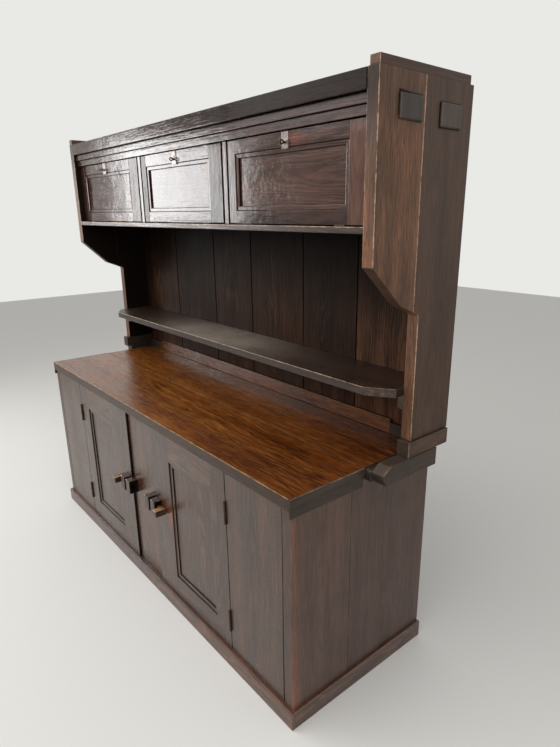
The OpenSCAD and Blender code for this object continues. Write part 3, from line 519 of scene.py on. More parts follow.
def mirrored(*parts):
    """The parts' mirror images about X = 0, with what shapes and colours them."""
    result = []
    for low, high, along, options in parts:
        options = dict(options)
        if "shape" in options:
            def shape(x, y, z, e, inner=options["shape"]):
                x, *rest = inner(-x, y, z, e)
                return -x, *rest
            options["shape"] = shape
        if callable(options.get("cast")):
            options["cast"] = lambda x, y, z, inner=options["cast"]: inner(-x, y, z)
        if "rub" in options:
            options["rub"] = [(None if x is None else -x, y, z) for x, y, z in options["rub"]]
        result.append(((-high[X], low[Y], low[Z]), (-low[X], high[Y], high[Z]), along, options))
    return result


def both(*parts):
    return [*parts, *mirrored(*parts)]


def near(value, at, width):
    """1 at a place and falling to 0 over a width."""
    return np.exp(-np.abs(value - at) / width)


def rise(value, start, end):
    """0 before the start, 1 past the end, and straight between them. The end may be the lesser."""
    return np.clip((value - start) / (end - start), 0, 1)


# Base: sides, plinth and what is inside

SIDE_JOINT = 243
PLINTH_PROUD = 12.5
PLINTH_HALF = HALF_BASE + PLINTH_PROUD
PLINTH_FRONT = BASE_FRONT - PLINTH_PROUD
CHAMFER_LOW = PLINTH_HEIGHT - 4
FLOOR_JOINT = 310
BACK_WIDTH = 2 * BASE_END / 8
HALF_PARTITION = 11
SHELF_IN = HALF_PARTITION + FIT
SHELF_LOW = 390
SHELF_FRONT = 88
RAIL_END = FRONT_BACK + 22.3


def rubbed_side(x, y, z):
    """The board at the front of a side: rubbed red along its front arris, most at its ends."""
    ends = 0.45 + 0.55 * (2 * z / UNDER_TOP - 1) ** 2
    return (x > HALF_BASE - 1) * np.clip(0.06 + 0.85 * near(y, BASE_FRONT, 15) * ends, 0, 1)


def plinth_front(x, y, z, e):
    """The front board's chamfer of 45 degrees, along the upper edge of its face and its ends."""
    over = np.maximum(z - CHAMFER_LOW, 0)
    return np.clip(x, over - PLINTH_HALF, PLINTH_HALF - over), np.maximum(y, PLINTH_FRONT + over), z, e


def plinth_return(x, y, z, e):
    """The same chamfer along the outer face of a return."""
    return np.minimum(x, PLINTH_HALF - np.maximum(z - CHAMFER_LOW, 0)), y, z, e


side = [part((HALF_IN, BASE_FRONT, 0), (HALF_BASE, SIDE_JOINT - 0.4, BASE_TOP), Z, r=1.8, seed=311, tone=0.5,
             cast=rubbed_side, heart=22, lean=0.03),
        part((HALF_IN, SIDE_JOINT + 0.4, 0), (HALF_BASE, DEPTH, BASE_TOP), Z, r=1.2, seed=322, tone=0.0,
             cast=lambda x, y, z: 0.04 * (x > HALF_BASE - 1), heart=60, lean=0.02)]
wood("base_side_right", LOW_SIDES, *side)
wood("base_side_left", LOW_SIDES, *mirrored(*side))
wood("plinth", CARCASS,
     part((-PLINTH_HALF, PLINTH_FRONT, 0), (PLINTH_HALF, BASE_FRONT - FIT, PLINTH_HEIGHT), X,
          lines={Z: [CHAMFER_LOW]}, shape=plinth_front, tone=0.3, cast=0.16),
     part((-BASE_END, BASE_FRONT - FIT, 0), (BASE_END, FRONT_BACK, PLINTH_HEIGHT), X),
     *both(part((HALF_BASE + FIT, BASE_FRONT, 0), (PLINTH_HALF, DEPTH, PLINTH_HEIGHT), Y,
                lines={Z: [CHAMFER_LOW]}, shape=plinth_return, tone=0.3, cast=0.04)))
wood("base_floor", SHADE,
     part((-BASE_END, FRONT_BACK + FIT, BASE_LOW), (BASE_END, FLOOR_JOINT, FLOOR_TOP), X),
     part((-BASE_END, FLOOR_JOINT, BASE_LOW), (BASE_END, BASE_REAR, FLOOR_TOP), X))
wood("base_back", SHADE, *(
    part((-BASE_END + i * BACK_WIDTH, BASE_BACK, 2), (-BASE_END + (i + 1) * BACK_WIDTH, DEPTH, BASE_TOP), Z,
         r=1.8) for i in range(8)))
wood("base_partition", SHADE,
     part((-HALF_PARTITION, RAIL_END + FIT, FLOOR_TOP + FIT), (HALF_PARTITION, BASE_REAR, BASE_TOP), Z))
wood("base_shelves", SHADE, *both(
    part((SHELF_IN, SHELF_FRONT, SHELF_LOW), (BASE_END, BASE_REAR, SHELF_LOW + 20), X)))
wood("shelf_cleats", SHADE, *both(*(
    part((x, SHELF_FRONT + 10, SHELF_LOW - 28.3), (x + 20, BASE_REAR, SHELF_LOW - FIT), Y)
    for x in (SHELF_IN, BASE_END - 20))))

# Front of the base

HINGE_SIDE = 614.4  # inner edge of a front plank, which the door's hinges are on
HALF_CENTRE = 104
CENTRE_FRONT = BASE_FRONT + 9


def shrunk(x, y, z, e):
    """The plank has shrunk away from the side, more at the foot than at the top."""
    return x - rise(x, 860, BASE_END) * (0.8 + 3.0 * (1 - z / UNDER_TOP)), y, z, e


wood("front_side_planks", CARCASS, *both(
    part((HINGE_SIDE, BASE_FRONT, BASE_LOW), (BASE_END, FRONT_BACK, BASE_TOP), Z,
         heart=18, lean=0.05, seed=341, tone=0.1, shape=shrunk)))
wood("centre_plank", CARCASS,
     part((-HALF_CENTRE, CENTRE_FRONT, BASE_LOW), (HALF_CENTRE, FRONT_BACK, BASE_TOP), Z,
          heart=14, lean=0.04, seed=352, tone=0.6))
wood("front_rail", SHADE,
     part((-BASE_END, FRONT_BACK + FIT, BASE_TOP - 45), (BASE_END, RAIL_END, BASE_TOP), X))

# Table top

TOP_JOINT = 290
STRIP_END = 289


def top_cast(x, y, z):
    """Darker, duller bands on the front and the ends of the table top."""
    return np.where((y < 0.6) | (np.abs(x) > HALF_BASE - 0.4), -0.85, 0.0)


def top_shade(x, y, z):
    """Painted shade: the right end of the table top is darker, where it mirrors the dark back boards,
    and its rear board more.
    """
    return 0.15 - 0.65 * rise(x, 250, 750) - 0.5 * rise(x, 550, 800) * (y > TOP_JOINT)


wood("table_top", TOP,
     part((-HALF_BASE, 0, UNDER_TOP), (HALF_BASE, TOP_JOINT - FIT, TOP_HEIGHT), X, r=2.2, cast=top_cast,
          rub=[(None, 0, TOP_HEIGHT)], seed=401, tone=top_shade, heart=12, lean=0.02),
     part((-HALF_BASE, TOP_JOINT + FIT, UNDER_TOP), (HALF_BASE, DEPTH, TOP_HEIGHT), X, r=0.8, cast=top_cast,
          seed=412, tone=top_shade, heart=25, lean=0.015))
wood("end_strips", EDGING, *both(
    part((HALF_BASE + FIT, 0, TOP_HEIGHT - 60.5), (HALF_TOP, STRIP_END, TOP_HEIGHT), Y, r=1.4, tone=-0.4,
         rub=[(HALF_TOP, None, TOP_HEIGHT), (HALF_TOP, STRIP_END, None)])))

# Bearers and foot blocks

BEARER_OUT = HALF_HUTCH + 10
BEARER_IN = BEARER_OUT - 46
NOSE_FRONT = 300
PACKING_TOP = BEARER_LOW + 40
PACKING_FRONT = NOSE_FRONT - 5
PACKING_END = HUTCH_BACK + 18
PACKING_OUT = 974
PACKING_IN = HALF_BASE + FIT
LEFT_FRONT = 434
FOOT_FRONT = 413
FOOT_OUT = HALF_HUTCH + 8


def nose(x, y, z, e):
    """The bearer's nose: a slope of 22 mm in 36 above, and a short steep one of 28 in 16 below."""
    top = BEARER_TOP - np.clip(NOSE_FRONT + 36 - y, 0, None) * 22 / 36
    low = BEARER_LOW + np.clip(NOSE_FRONT + 16 - y, 0, None) * 28 / 16
    return x, y, np.clip(z, low, np.maximum(top, low)), e


def on_nose(y, z, length):
    return (y < NOSE_FRONT + length) & ((z > BEARER_TOP - 0.1) | (z < BEARER_LOW + 0.1))


def nose_rub(x, y, z):
    """Distance from the outer arris of the nose's slopes."""
    return np.where(on_nose(y, z, 37), BEARER_OUT - x, FAR)


def nose_cast(x, y, z):
    """The nose is rubbed tan along its outer arris, and dark on its end."""
    return np.where(y < NOSE_FRONT + 0.1, -0.3, 0.5 * near(x, BEARER_OUT, 6) * on_nose(y, z, 40))


def packing_nose(x, y, z, e):
    """The packing's nose, rounded with a radius of 12 mm in four flats."""
    in_by = np.interp(y - PACKING_FRONT, [0, 4, 12], [12, 4, 0])
    return x, y, np.clip(z, BEARER_LOW + in_by, PACKING_TOP - in_by), e


nose_lines = {Y: [NOSE_FRONT + d for d in (1, 2.5, 5, 8, 12, 16, 20, 26, 32, 36)],
              Z: [BEARER_LOW + d for d in (4, 9, 14, 20, 28, 36, 42)]}
packing_lines = {Y: [PACKING_FRONT + d for d in (1, 2.5, 4, 8, 12)],
                 Z: [BEARER_LOW + d for d in (4, 12, 28, 36)]}
# the last two fill the corners under the back boards and the foot blocks
wood("bearers", EDGING,
     part((BEARER_IN, NOSE_FRONT, BEARER_LOW), (BEARER_OUT, BEARER_END, BEARER_TOP), Y,
          r=0.8, lines=nose_lines, shape=nose, tone=0.1, cast=nose_cast, rub=[nose_rub]),
     part((PACKING_IN, PACKING_FRONT, BEARER_LOW), (BEARER_IN, PACKING_END, PACKING_TOP), Y,
          r=0.5, lines=packing_lines, shape=packing_nose, tone=-0.8),
     part((-BEARER_OUT, LEFT_FRONT, BEARER_LOW), (-BEARER_IN, BEARER_END, BEARER_TOP), Y, r=0.8),
     part((-BEARER_IN, LEFT_FRONT, BEARER_LOW), (-PACKING_IN, PACKING_END, PACKING_TOP), Y, r=0.5),
     *both(part((PACKING_IN, BEARER_END, PACKING_TOP), (PACKING_OUT, PACKING_END, TOP_HEIGHT), Y,
                r=0.3, tone=-0.8),
           part((HALF_HIN + FIT, BEARER_END, TOP_HEIGHT), (PACKING_OUT, PACKING_END, BEARER_TOP), Y,
                r=0.3, tone=-0.8)))
wood("foot_blocks", EDGING, *both(
    part((HALF_HIN, FOOT_FRONT, FOOT_LOW), (FOOT_OUT, DEPTH - 4, FOOT_TOP), Y, r=1.6, tone=-0.2,
         rub=[(FOOT_OUT, FOOT_FRONT, None)], cast=lambda x, y, z: 0.25 * (x > FOOT_OUT - 1))))

# Hutch sides

CUT_END = 1239  # height of the slanted cut at the joint between the boards
CUT_LINE = ((HUTCH_FRONT, 350, BOARD_JOINT), (1370, 1261, CUT_END))  # depths, heights
STEP_LINE = ((1220, 1226, 1232, CUT_END), (430, 430, 424, BOARD_JOINT))  # heights, depths
PLATE_HALF = (43, 29)
PLATES = ((348, 1746), (512, 1741))  # depth and height of each raised plate's middle
CAP_FRONT = HUTCH_FRONT + 1


def deep_board(x, y, z, e):
    """The front board of a side: its foot follows the slanted cut."""
    foot = np.interp(y, *CUT_LINE)
    return x, y, HUTCH_HEIGHT - (HUTCH_HEIGHT - z) * (HUTCH_HEIGHT - foot) / (HUTCH_HEIGHT - CUT_END), e


def post_board(x, y, z, e):
    """The rear board of a side: its front edge steps back below the cut."""
    face = np.interp(z, *STEP_LINE)
    return x, DEPTH - (DEPTH - y) * (DEPTH - face) / (DEPTH - BOARD_JOINT), z, e


def shadow_round_plates(x, y, z, cast):
    """Painted shadow in the corner round each raised plate: on the face, out to 5 mm from the plate."""
    for at_y, at_z in PLATES:
        away = np.maximum(np.abs(y - at_y) - PLATE_HALF[0], np.abs(z - at_z) - PLATE_HALF[1])
        cast = np.where((x > HALF_HUTCH - 1) & (away < 5), -1.0, cast)
    return cast


def front_cast(x, y, z):
    """The upper front board: warm brown from the plate down, its front edge more orange low down,
    and its inner face dark with painted shade."""
    low = np.maximum(rise(z, 1740, 1700), 0.1) * np.maximum(rise(z, 1150, 1600), 0.2)
    front = 0.12 + 0.4 * rise(z, 1640, 1390) - 0.6 * rise(z, 1640, 1760)
    cast = np.where(y < HUTCH_FRONT + 0.5, front, -1.0 * (x < HALF_HIN + 0.5))
    return shadow_round_plates(x, y, z, np.where(x > HALF_HUTCH - 1, 0.15 + 0.6 * near(y, 325, 70) * low, cast))


def post_cast(x, y, z):
    """The post's front face is rubbed orange brown, its side is plain and its inner face dark with
    painted shade.
    """
    cast = np.where(x < HALF_HIN + 0.5, -1.0, -0.05)
    return shadow_round_plates(x, y, z, np.where((y < BOARD_JOINT + 0.6) & (z < CUT_END), 0.4, cast))


def around(at):
    """Grid lines in depth and height on a plate's edges and 6 mm outside them."""
    return [[v + s * (half + d) for s in (-1, 1) for d in (0, 6)] for v, half in zip(at, PLATE_HALF)]


front_y, front_z = around(PLATES[0])
post_y, post_z = around(PLATES[1])
hutch_side = [
    part((HALF_HIN, HUTCH_FRONT, CUT_END), (HALF_HUTCH, BOARD_JOINT + 0.2, HUTCH_HEIGHT), Z, r=1.8,
         lines={Y: [270, 350, *front_y], Z: front_z}, shape=deep_board,
         seed=501, tone=0.15, heart=16, lean=-0.045, cast=front_cast,
         rub=[(HALF_HUTCH, HUTCH_FRONT, None), (HALF_HIN, HUTCH_FRONT, None),
              (HALF_HUTCH, BOARD_JOINT, None), (HALF_HUTCH, 240, 1322), (HALF_HUTCH, 236, 1440)]),
    part((HALF_HIN, BOARD_JOINT - 0.2, FOOT_TOP + FIT), (HALF_HUTCH, DEPTH, HUTCH_HEIGHT), Z, r=1.6,
         lines={Y: post_y, Z: [1216, 1220, 1223, 1226, 1229, 1232, 1235.5, CUT_END, 1243, *post_z]},
         shape=post_board, seed=512, tone=-0.15, heart=55, lean=0.02, cast=post_cast,
         rub=[(HALF_HUTCH, BOARD_JOINT, None)]),
    part((HALF_HIN + 5, CAP_FRONT, HUTCH_HEIGHT - 1), (HALF_HUTCH, DEPTH - 15, HUTCH_HEIGHT + 22), Y, r=2.5,
         tone=0.1, cast=lambda x, y, z: 0.3 * (y < CAP_FRONT + 0.5),
         rub=[(HALF_HUTCH, CAP_FRONT, 1835), (HALF_HUTCH, CAP_FRONT, None)])]
wood("hutch_side_right", SIDES, *hutch_side)
wood("hutch_side_left", SIDES, *mirrored(*hutch_side))


def plate(at_y, at_z, tone):
    """A raised plate, 7 mm thick, with a chamfer of 3 mm all round."""
    half_y, half_z = PLATE_HALF
    low, high = HALF_HUTCH + FIT, HALF_HUTCH + FIT + 7
    bevel = {Y: [at_y - half_y + 3, at_y + half_y - 3], Z: [at_z - half_z + 3, at_z + half_z - 3]}

    def shape(x, y, z, e):
        inward = np.minimum(half_y - np.abs(y - at_y), half_z - np.abs(z - at_z))
        return np.minimum(x, high - 3 + np.clip(inward, 0, 3)), y, z, e
    return part((low, at_y - half_y, at_z - half_z), (high, at_y + half_y, at_z + half_z), Z,
                r=0.5, lines=bevel, shape=shape, tone=tone)


wood("side_plates", PLATE, *both(plate(*PLATES[0], -0.3), plate(*PLATES[1], 0.9)))

# Upper cabinet

CORNICE_FRONT = HUTCH_FRONT - 2
CORNICE_BACK = CORNICE_FRONT + 20
FASCIA_FRONT = 243
RAIL_FRONT = 250
STOP_FRONT = FLAP_FRONT + 20.3
STOP_BACK = STOP_FRONT + 16
POCKET = (273.2, 279.7)  # front and rear of the pockets in the rail for the locks' bolts
POCKET_TOP = RAIL_LOW + 10
LOCKS = (-663.35, -19.5, 624.35)
LIP_ENDS = (297.7, 328.3)
TOP_BOARD = CORNICE_LOW + FIT
BOARD_SPLIT = 405
DIVIDER = (302, 324)


def cornice_shade(x, y, z):
    """Painted shade: the cornice is black underneath, and darker and less glossy towards its right end,
    away from the window's glare.
    """
    return np.where(z < CORNICE_LOW + 0.7, -1.0, -0.8 * rise(x, -100, 400))


def corner_shade(top, deep):
    """Painted shade under a board and in the corner below the board that overhangs it, where its shadow
    falls.
    """
    return lambda x, y, z: -np.maximum(rise(z, top - 1.4 * deep, top - 0.4 * deep), z < z.min() + 0.3)


wood("cornice", POLISHED,
     part((-HUTCH_END, CORNICE_FRONT, TOP_BOARD), (HUTCH_END, CORNICE_BACK, HUTCH_HEIGHT - 1), X,
          r=1.5, tone=-0.3, cast=cornice_shade))
wood("fascia", POLISHED,
     part((-HUTCH_END, FASCIA_FRONT, FASCIA_LOW + FIT), (HUTCH_END, STOP_FRONT, CORNICE_LOW), X,
          cast=corner_shade(CORNICE_LOW, 6)))
# the rail has a pocket above each lock, and lips behind the flaps' upper edges
pockets = [-HUTCH_END, *(x + s for x in LOCKS for s in (-11.5, 11.5)), HUTCH_END]
lips = [-HUTCH_END, -LIP_ENDS[1], -LIP_ENDS[0], *LIP_ENDS, HUTCH_END]
wood("door_rail", POLISHED,
     part((-HUTCH_END, RAIL_FRONT, RAIL_LOW), (HUTCH_END, POCKET[0], FASCIA_LOW), X,
          cast=corner_shade(FASCIA_LOW, 3)),
     part((-HUTCH_END, POCKET[1], RAIL_LOW), (HUTCH_END, STOP_BACK, FASCIA_LOW), X, r=0.3, same=True),
     part((-HUTCH_END, POCKET[0], POCKET_TOP), (HUTCH_END, POCKET[1], FASCIA_LOW), X, r=0.1, same=True),
     *(part((a, POCKET[0], RAIL_LOW), (b, POCKET[1], POCKET_TOP), X, r=0.1, same=True)
       for a, b in zip(pockets[::2], pockets[1::2])),
     *(part((a, STOP_FRONT, RAIL_LOW - 12), (b, STOP_BACK, RAIL_LOW), X)
       for a, b in zip(lips[::2], lips[1::2])))
wood("hutch_top", SHADE,
     part((-HUTCH_END, CORNICE_BACK + FIT, TOP_BOARD), (HUTCH_END, BOARD_SPLIT, TOP_BOARD + 22), X),
     part((-HUTCH_END, BOARD_SPLIT, TOP_BOARD), (HUTCH_END, HUTCH_REAR, TOP_BOARD + 22), X))
# painted shade: the cabinet's floor board is darker and less glossy towards the right
wood("hutch_floor", CARCASS,
     part((-HUTCH_END, HUTCH_FRONT, CABINET_LOW), (HUTCH_END, HUTCH_REAR, CABINET_UP), X, r=1.5, tone=-0.1,
          cast=lambda x, y, z: -0.45 * rise(x, -200, 200), rub=[(None, HUTCH_FRONT, CABINET_UP)]))
# painted shade: the dividers are black on every face but the front, in the gaps beside the flaps
wood("dividers", POLISHED, *both(
    part((DIVIDER[0], FLAP_FRONT, CABINET_UP + FIT), (DIVIDER[1], HUTCH_REAR, RAIL_LOW - FIT), Z,
         cast=lambda x, y, z: -1.0 * (y > FLAP_FRONT + 0.6))))

# Back of the hutch: boards with grooves between their faces, which meet behind the grooves

JOINTS = (-HUTCH_END, -893, -605, -258, 27, 357, 636, HUTCH_END)
HALF_GROOVE = 3
GROOVE_BACK = HUTCH_BACK + 5


def back_light_and_shade(x, y, z):
    """Painted light and shade on the back boards: browner low down and at the right, where more light
    falls, and black at the top, in the shade under the cabinet."""
    right = rise(z, 1250, 1050) * (x > JOINTS[-2] + 1)
    return 0.3 * rise(z, 1000, 850) + 0.55 * right - 0.9 * rise(z, 1150, 1400)


backs = []
for i, (a, b) in enumerate(zip(JOINTS, JOINTS[1:])):
    face = (a + HALF_GROOVE * (a > JOINTS[0]), b - HALF_GROOVE * (b < JOINTS[-1]))
    backs.append(part((face[0], HUTCH_BACK, BACK_LOW), (face[1], GROOVE_BACK + 0.2, CORNICE_LOW), Z,
                      r=1.2, seed=900 + i, cast=back_light_and_shade))
    backs.append(part((a, GROOVE_BACK, BACK_LOW), (b, HUTCH_BACK + 18, CORNICE_LOW), Z, r=1.2, seed=900 + i))
wood("hutch_back", SHADE, *backs)

# Open shelf and upstand

CLIP_START = HUTCH_END - 85
BRACKET_FRONT = 430
UPSTAND_HALF = 815


def clipped(x, y, z, e):
    """The shelf's front corners, cut off at a slant of 54 mm in 85."""
    front = RACK_FRONT + np.clip(np.abs(x) - CLIP_START, 0, None) * 54 / 85
    return x, np.maximum(y, front), z, np.where(y < front, np.minimum(e, 1.0), e)


def shelf_glare_and_dust(x, y, z):
    """Painted glare with some grey dust on the shelf's top, most at the middle of its front."""
    middle = np.exp(-((x + 40) / 330) ** 2)
    return -1.9 * (z > RACK_TOP - 1) * middle * (0.25 + 0.75 * near(y, 430, 110))


clip_lines = {X: [s * x for s in (-1, 1) for x in (CLIP_START, 874, 885, 900, 915, 930, 945)],
              Y: [RACK_FRONT + d for d in (8, 16, 24, 32, 40, 48, 54)]}
wood("mid_shelf", SHELF,
     part((-HUTCH_END, RACK_FRONT, RACK_LOW), (HUTCH_END, HUTCH_REAR, RACK_TOP), X, r=1.8, cast=shelf_glare_and_dust,
          rub=[(None, RACK_FRONT, RACK_TOP)], lines=clip_lines, shape=clipped))
wood("shelf_brackets", CARCASS, *both(
    part((HUTCH_END - 20, BRACKET_FRONT, RACK_LOW - 44.3), (HUTCH_END, HUTCH_REAR, RACK_LOW - FIT), Y)))
wood("upstand", TOP,
     part((-UPSTAND_HALF, HUTCH_REAR - 15, BACK_LOW), (UPSTAND_HALF, HUTCH_REAR, TOP_HEIGHT + 52), X, r=2.0))
wood("upstand_blocks", EDGING, *both(
    part((UPSTAND_HALF + FIT, HUTCH_REAR - 16, BACK_LOW), (HALF_HIN - 4, HUTCH_REAR, TOP_HEIGHT + 40), X,
         r=1.2)))

# Doors and flaps

FRAME_THICK = 20
PANEL_DEPTH = 9.5
PANEL_THICK = 7
TONGUE = 7.4  # how far the panel reaches behind the moulding
DOOR_IN = HALF_CENTRE + 2
DOOR_SIZE = (505, 677)
BOLT_STILE = 134
HINGE_STILE = 83
CASE = (6.7, 30.3)  # depth where the recess for a lock's case begins, and half its width


def panelled(name, corner, size, stiles, rails, mould, material, patch=None, dull=(0.0, 0.0), tones=None,
             locked=False):
    """A frame of two stiles, two rails and a mitred stepped moulding, with a loose panel behind. The
    mould is the moulding's width and its first drop. The patch casts the face, less the painted shade
    of each stile, which makes it darker and less glossy where it mirrors less of the window."""
    stock = Stock()
    SEED[0] += 40
    seed = SEED[0]
    x0, y0, z0 = corner
    x1, y1, z1 = x0 + size[0], y0 + FRAME_THICK, z0 + size[1]
    in_x0, in_x1, in_z0, in_z1 = x0 + stiles[0], x1 - stiles[1], z0 + rails[0], z1 - rails[1]
    tones = np.random.default_rng(seed).uniform(-0.5, 0.5, 5) if tones is None else tones
    extra = {X: np.linspace(x0, x1, 28)[1:-1], Z: np.linspace(z0, z1, 28)[1:-1]} if patch else None

    def cast(x, y, z):
        """Painted shade on the edges all round, in the gaps; the face as its own patch says."""
        ends = np.minimum(np.minimum(x - x0, x1 - x), np.minimum(z - z0, z1 - z))
        stile = np.where(x < in_x0 + 0.1, dull[0], np.where(x > in_x1 - 0.1, dull[1], 0.0))
        return np.where(ends < 0.5, -1.0, ((patch(x, y, z) if patch else 0.0) - stile) * (y < y0 + 2))

    behind = y0 + CASE[0] if locked else y1
    for low, high, along, r, lines in (
            ((x0, y0, z0), (in_x0, y1, z1), Z, 0.9, extra), ((in_x1, y0, z0), (x1, y1, z1), Z, 0.9, extra),
            ((in_x0, y0, z0), (in_x1, y1, in_z0), X, 0.6, None),
            ((in_x0, y0, in_z1), (in_x1, behind, z1), X, 0.6, extra)):
        board(stock, low, high, along, r, seed, tones[seed - SEED[0]], lines=lines, cast=cast)
        seed += 1
    if locked:
        middle = (in_x0 + in_x1) / 2
        for a, b in ((in_x0, middle - CASE[1]), (middle + CASE[1], in_x1)):
            board(stock, (a, behind, in_z1), (b, y1, z1), X, 0.2, seed - 1, tones[3])
    wide, step = mould
    # the third number of each point is painted shade, full in the moulding's drops
    profile = [
        (-0.3, 18, 0), (-0.3, 12, 1), (-0.3, 1.2, 1), (0.4, 0.9, 0.7), (1.2, 2.2, 1), (1.5, step - 0.3, 1),
        (2.2, step, 0.6), (3.6, step + 0.1, 0), (wide - 3, step + 0.5, 0), (wide - 1.2, step + 0.9, 0.2),
        (wide - 0.6, step + 1.2, 0.9), (wide - 0.2, step + 2, 1), (wide, PANEL_DEPTH + 0.4, 1), (wide, 18, 0)]
    ring(stock, (in_x0, in_z0), (in_x1, in_z1), y0, profile, seed, tones[0])
    surface("oak_%s_frame" % name, stock, name + "_frame", material)

    panel = Stock()
    face, inset = y0 + PANEL_DEPTH, wide - TONGUE
    board(panel, (in_x0 + inset, face, in_z0 + inset), (in_x1 - inset, face + PANEL_THICK, in_z1 - inset),
          X if size[0] > size[1] else Z, 0.8, SEED[0] + 9, tones[4])
    surface("oak_%s_panel" % name, panel, name + "_panel", material)


def handled(x, y, z):
    """The finish round the bolts' heads is rubbed to orange brown by the hand, most on the right."""
    return np.where(x > 0, 1.1, 0.35) * np.exp(-((np.abs(x) - 220) / 28) ** 2 - ((z - 408) / 40) ** 2)


def beside_key(x, y, z):
    """The polish of the right flap is rubbed red beside its key."""
    return 0.5 * np.exp(-((x - 666) / 34) ** 2 - ((z - 1700) / 18) ** 2)


for name, x, stiles in (("right_door", DOOR_IN, (BOLT_STILE, HINGE_STILE)),
                        ("left_door", -DOOR_IN - DOOR_SIZE[0], (HINGE_STILE, BOLT_STILE))):
    panelled(name, (x, BASE_FRONT, PLINTH_HEIGHT + 3), DOOR_SIZE, stiles, (84, 102), (17, 4.5), CARCASS,
             handled, tones=(0.1, -0.1, 0.1, 0.6, 0.1))
# dull is each stile's painted shade: darker and less glossy where the stile mirrors less window
for name, x, width, dull, patch, tones in (
        ("flap_left", -954.7, 621.7, (0.2, 0.5), None, None),
        ("flap_middle", -293, 586, (0.7, 0.42), None, None),
        # the right flap's right stile is painted lighter (tone 1.8) for the window's glare on its grain
        ("flap_right", 333, 621.7, (0.1, 0.0), beside_key, (0, 1.8, -0.5, 0, 0.35))):
    panelled(name, (x, FLAP_FRONT, CABINET_UP + 3), (width, 253), (39, 78), (39, 41), (15, 3), POLISHED,
             patch, dull, tones, locked=True)

# Wooden bolts, their guides on the doors and their keepers on the centre plank

BOLT_MID = 420
BLOCK_FRONT = BASE_FRONT - 30
BLOCK_TOP = BOLT_MID + 29
HEAD_FRONT = BASE_FRONT - 48
HEAD_TOP = BOLT_MID + 13


def shaded_end(end):
    """Painted shade on the faces that look towards +X, away from the window, from the end on."""
    return lambda x, y, z: np.where(x > end - 0.1, -1.0, 0.0)


def block(x0, x1, back, **options):
    """A guide or a keeper: painted glints along its left and upper front arrises, and painted shade
    on its right.
    """
    def glint(x, y, z):
        """Distance from the left half of the upper front arris."""
        return np.where(x < (x0 + x1) / 2, np.hypot(y - BLOCK_FRONT, z - BLOCK_TOP), FAR)
    return part((x0, BLOCK_FRONT, BOLT_MID - 29), (x1, back, BLOCK_TOP), Z, r=2.2, cast=shaded_end(x1),
                rub=[(x0, BLOCK_FRONT, None), (x0, None, BLOCK_TOP), glint], **options)


def bolt(bar, head):
    """A bar and its square head, which is rubbed to tan on top, fading under painted shade towards the
    back, with painted shade on its right and painted glints on its left and upper front arrises.
    """
    def cast(x, y, z):
        return np.where(z > HEAD_TOP - 1, 0.9 * rise(y, 2, -23), np.where(x > head[1] - 0.5, -0.3, 0.0))
    return (part((bar[0], -12, BOLT_MID - 10), (bar[1], 4, BOLT_MID + 10), X, r=1.5, tone=0.2,
                 cast=shaded_end(bar[1])),
            part((head[0], HEAD_FRONT, BOLT_MID - 13), (head[1], 6, HEAD_TOP), Y, r=2.5, tone=0.3, cast=cast,
                 rub=[(head[0], HEAD_FRONT, None), (None, HEAD_FRONT, HEAD_TOP), (head[0], None, HEAD_TOP)]))


for name, guide, bar, head in (("right", (118, 154), (108, 174), (173, 198)),
                               ("left", (-154, -118), (-174, -108), (-198, -173))):
    wood("bolt_guide_" + name, HANDLED, block(*guide, BASE_FRONT, tone=-0.6))
    wood("bolt_" + name, HANDLED, *bolt(bar, head))
mortise = (-13, BOLT_MID - 11, 5, BOLT_MID + 11)
wood("bolt_keepers", HANDLED, *(block(*ends, CENTRE_FRONT, tone=-0.3, hole=mortise)
                                for ends in ((-103, -69), (69, 103))))

# The metal pieces keep their CAD meshes
for name, obj in frame["nodes"].items():
    for marks, finish in ((("leaves", "lock_bolt"), IRON), (("lock_",), BRASS), (("key_",), KEY)):
        if any(mark in name for mark in marks):
            obj.data.materials.clear()
            obj.data.materials.append(finish)
            break

# Camera, fitted to the photograph, in pixels of its 747 rows

ROWS = 747
FOCAL = 549.234
SHIFT = (-11.2, 10.94)
EYE = (1927.8, -823.5, 1506.5)  # millimetres
yaw, pitch, roll = math.radians(49.8943), math.radians(-17.4297), math.radians(-0.4843)
forward = Vector((-math.sin(yaw) * math.cos(pitch), math.cos(yaw) * math.cos(pitch), math.sin(pitch)))
level = forward.cross(Vector((0, 0, 1))).normalized()
upright = level.cross(forward)
right = math.cos(roll) * level + math.sin(roll) * upright
up = math.cos(roll) * upright - math.sin(roll) * level
data = bpy.data.cameras.new("camera")
data.sensor_width = 36.0
data.lens = FOCAL / ROWS * data.sensor_width
data.shift_x, data.shift_y = SHIFT[0] / ROWS, SHIFT[1] / ROWS
camera = linked("camera", data)
turn = Matrix((right, up, -forward)).transposed()
camera.matrix_world = Matrix.Translation(place(EYE)) @ turn.to_4x4()
bpy.context.scene.camera = camera

# Floor and light

HALF_FLOOR = 9  # metres


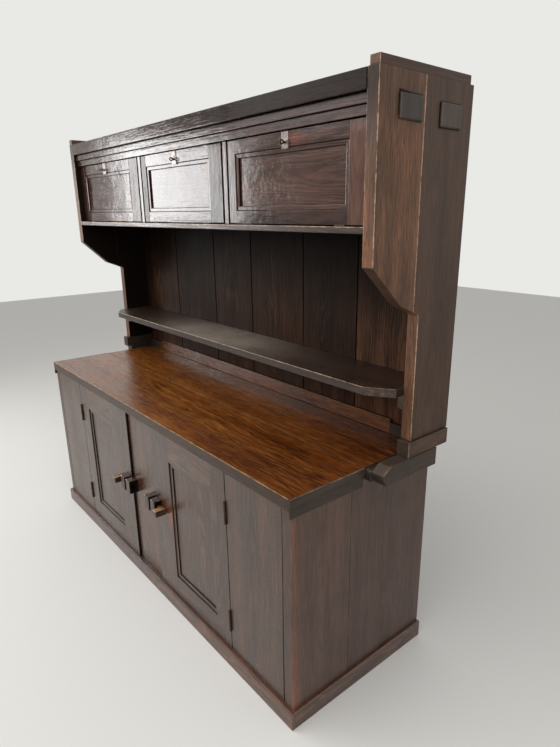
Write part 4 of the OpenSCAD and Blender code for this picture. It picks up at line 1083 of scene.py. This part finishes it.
def see_plain(tree, lit, plain):
    """Camera, glossy and transmission rays see the plain shader; all other rays see the lit one."""
    rays = add(tree, "LightPath").outputs
    seen = add(tree, "Math", (rays["Is Camera Ray"], rays["Is Glossy Ray"]), operation="MAXIMUM")
    seen = add(tree, "Math", (seen, rays["Is Transmission Ray"]), operation="MAXIMUM")
    return add(tree, "MixShader", (seen, lit, plain))


world = bpy.data.worlds.new("studio")
world.use_nodes = True
bpy.context.scene.world = world
sky = world.node_tree
sky.nodes.clear()
room = add(sky, "Background", {"Color": (1.0, 0.99, 0.97, 1.0), "Strength": 0.45})
backdrop = add(sky, "Background", {"Color": linear("#e9e9e6"), "Strength": 1.0})
add(sky, "OutputWorld", (see_plain(sky, room, backdrop),))

floor_mesh = bpy.data.meshes.new("floor")
corners = [(x * HALF_FLOOR, y * HALF_FLOOR, 0) for x, y in ((-1, -1), (1, -1), (1, 1), (-1, 1))]
floor_mesh.from_pydata(corners, [], [(0, 1, 2, 3)])
floor = linked("floor", floor_mesh)
paint = bpy.data.materials.new("pale floor")
paint.use_nodes = True
shader = paint.node_tree.nodes["Principled BSDF"]
shader.inputs["Base Color"].default_value = linear("#e2e1dd")
shader.inputs["Roughness"].default_value = 0.55
floor_mesh.materials.append(paint)

# lamps: place and aim in metres, size in metres, power in watts; the middle flap mirrors the window
for name, at, aim, size, power in (
        ("ceiling", (0.3, -1.2, 3.2), (0, 0, 0.8), (3.0, 2.2), 48),
        ("window", (-3.04, -1.77, 1.76), (0, 0, 1.5), (1.12, 0.8), 28.5),
        ("fill", (3.4, -1.6, 2.2), (0.4, 0, 1.0), (2.0, 2.0), 28),
        ("floor left", (-2.0, -2.4, 2.6), (-1.5, -1.5, 0), (1.6, 1.6), 18)):
    lamp = bpy.data.lights.new(name, "AREA")
    lamp.shape, lamp.size, lamp.size_y, lamp.energy = "RECTANGLE", *size, power
    obj = linked(name, lamp)
    way = (Vector(aim) - Vector(at)).normalized()
    obj.matrix_world = Matrix.Translation(at) @ way.to_track_quat("-Z", "Y").to_matrix().to_4x4()

bpy.context.scene.view_settings.view_transform = "Standard"
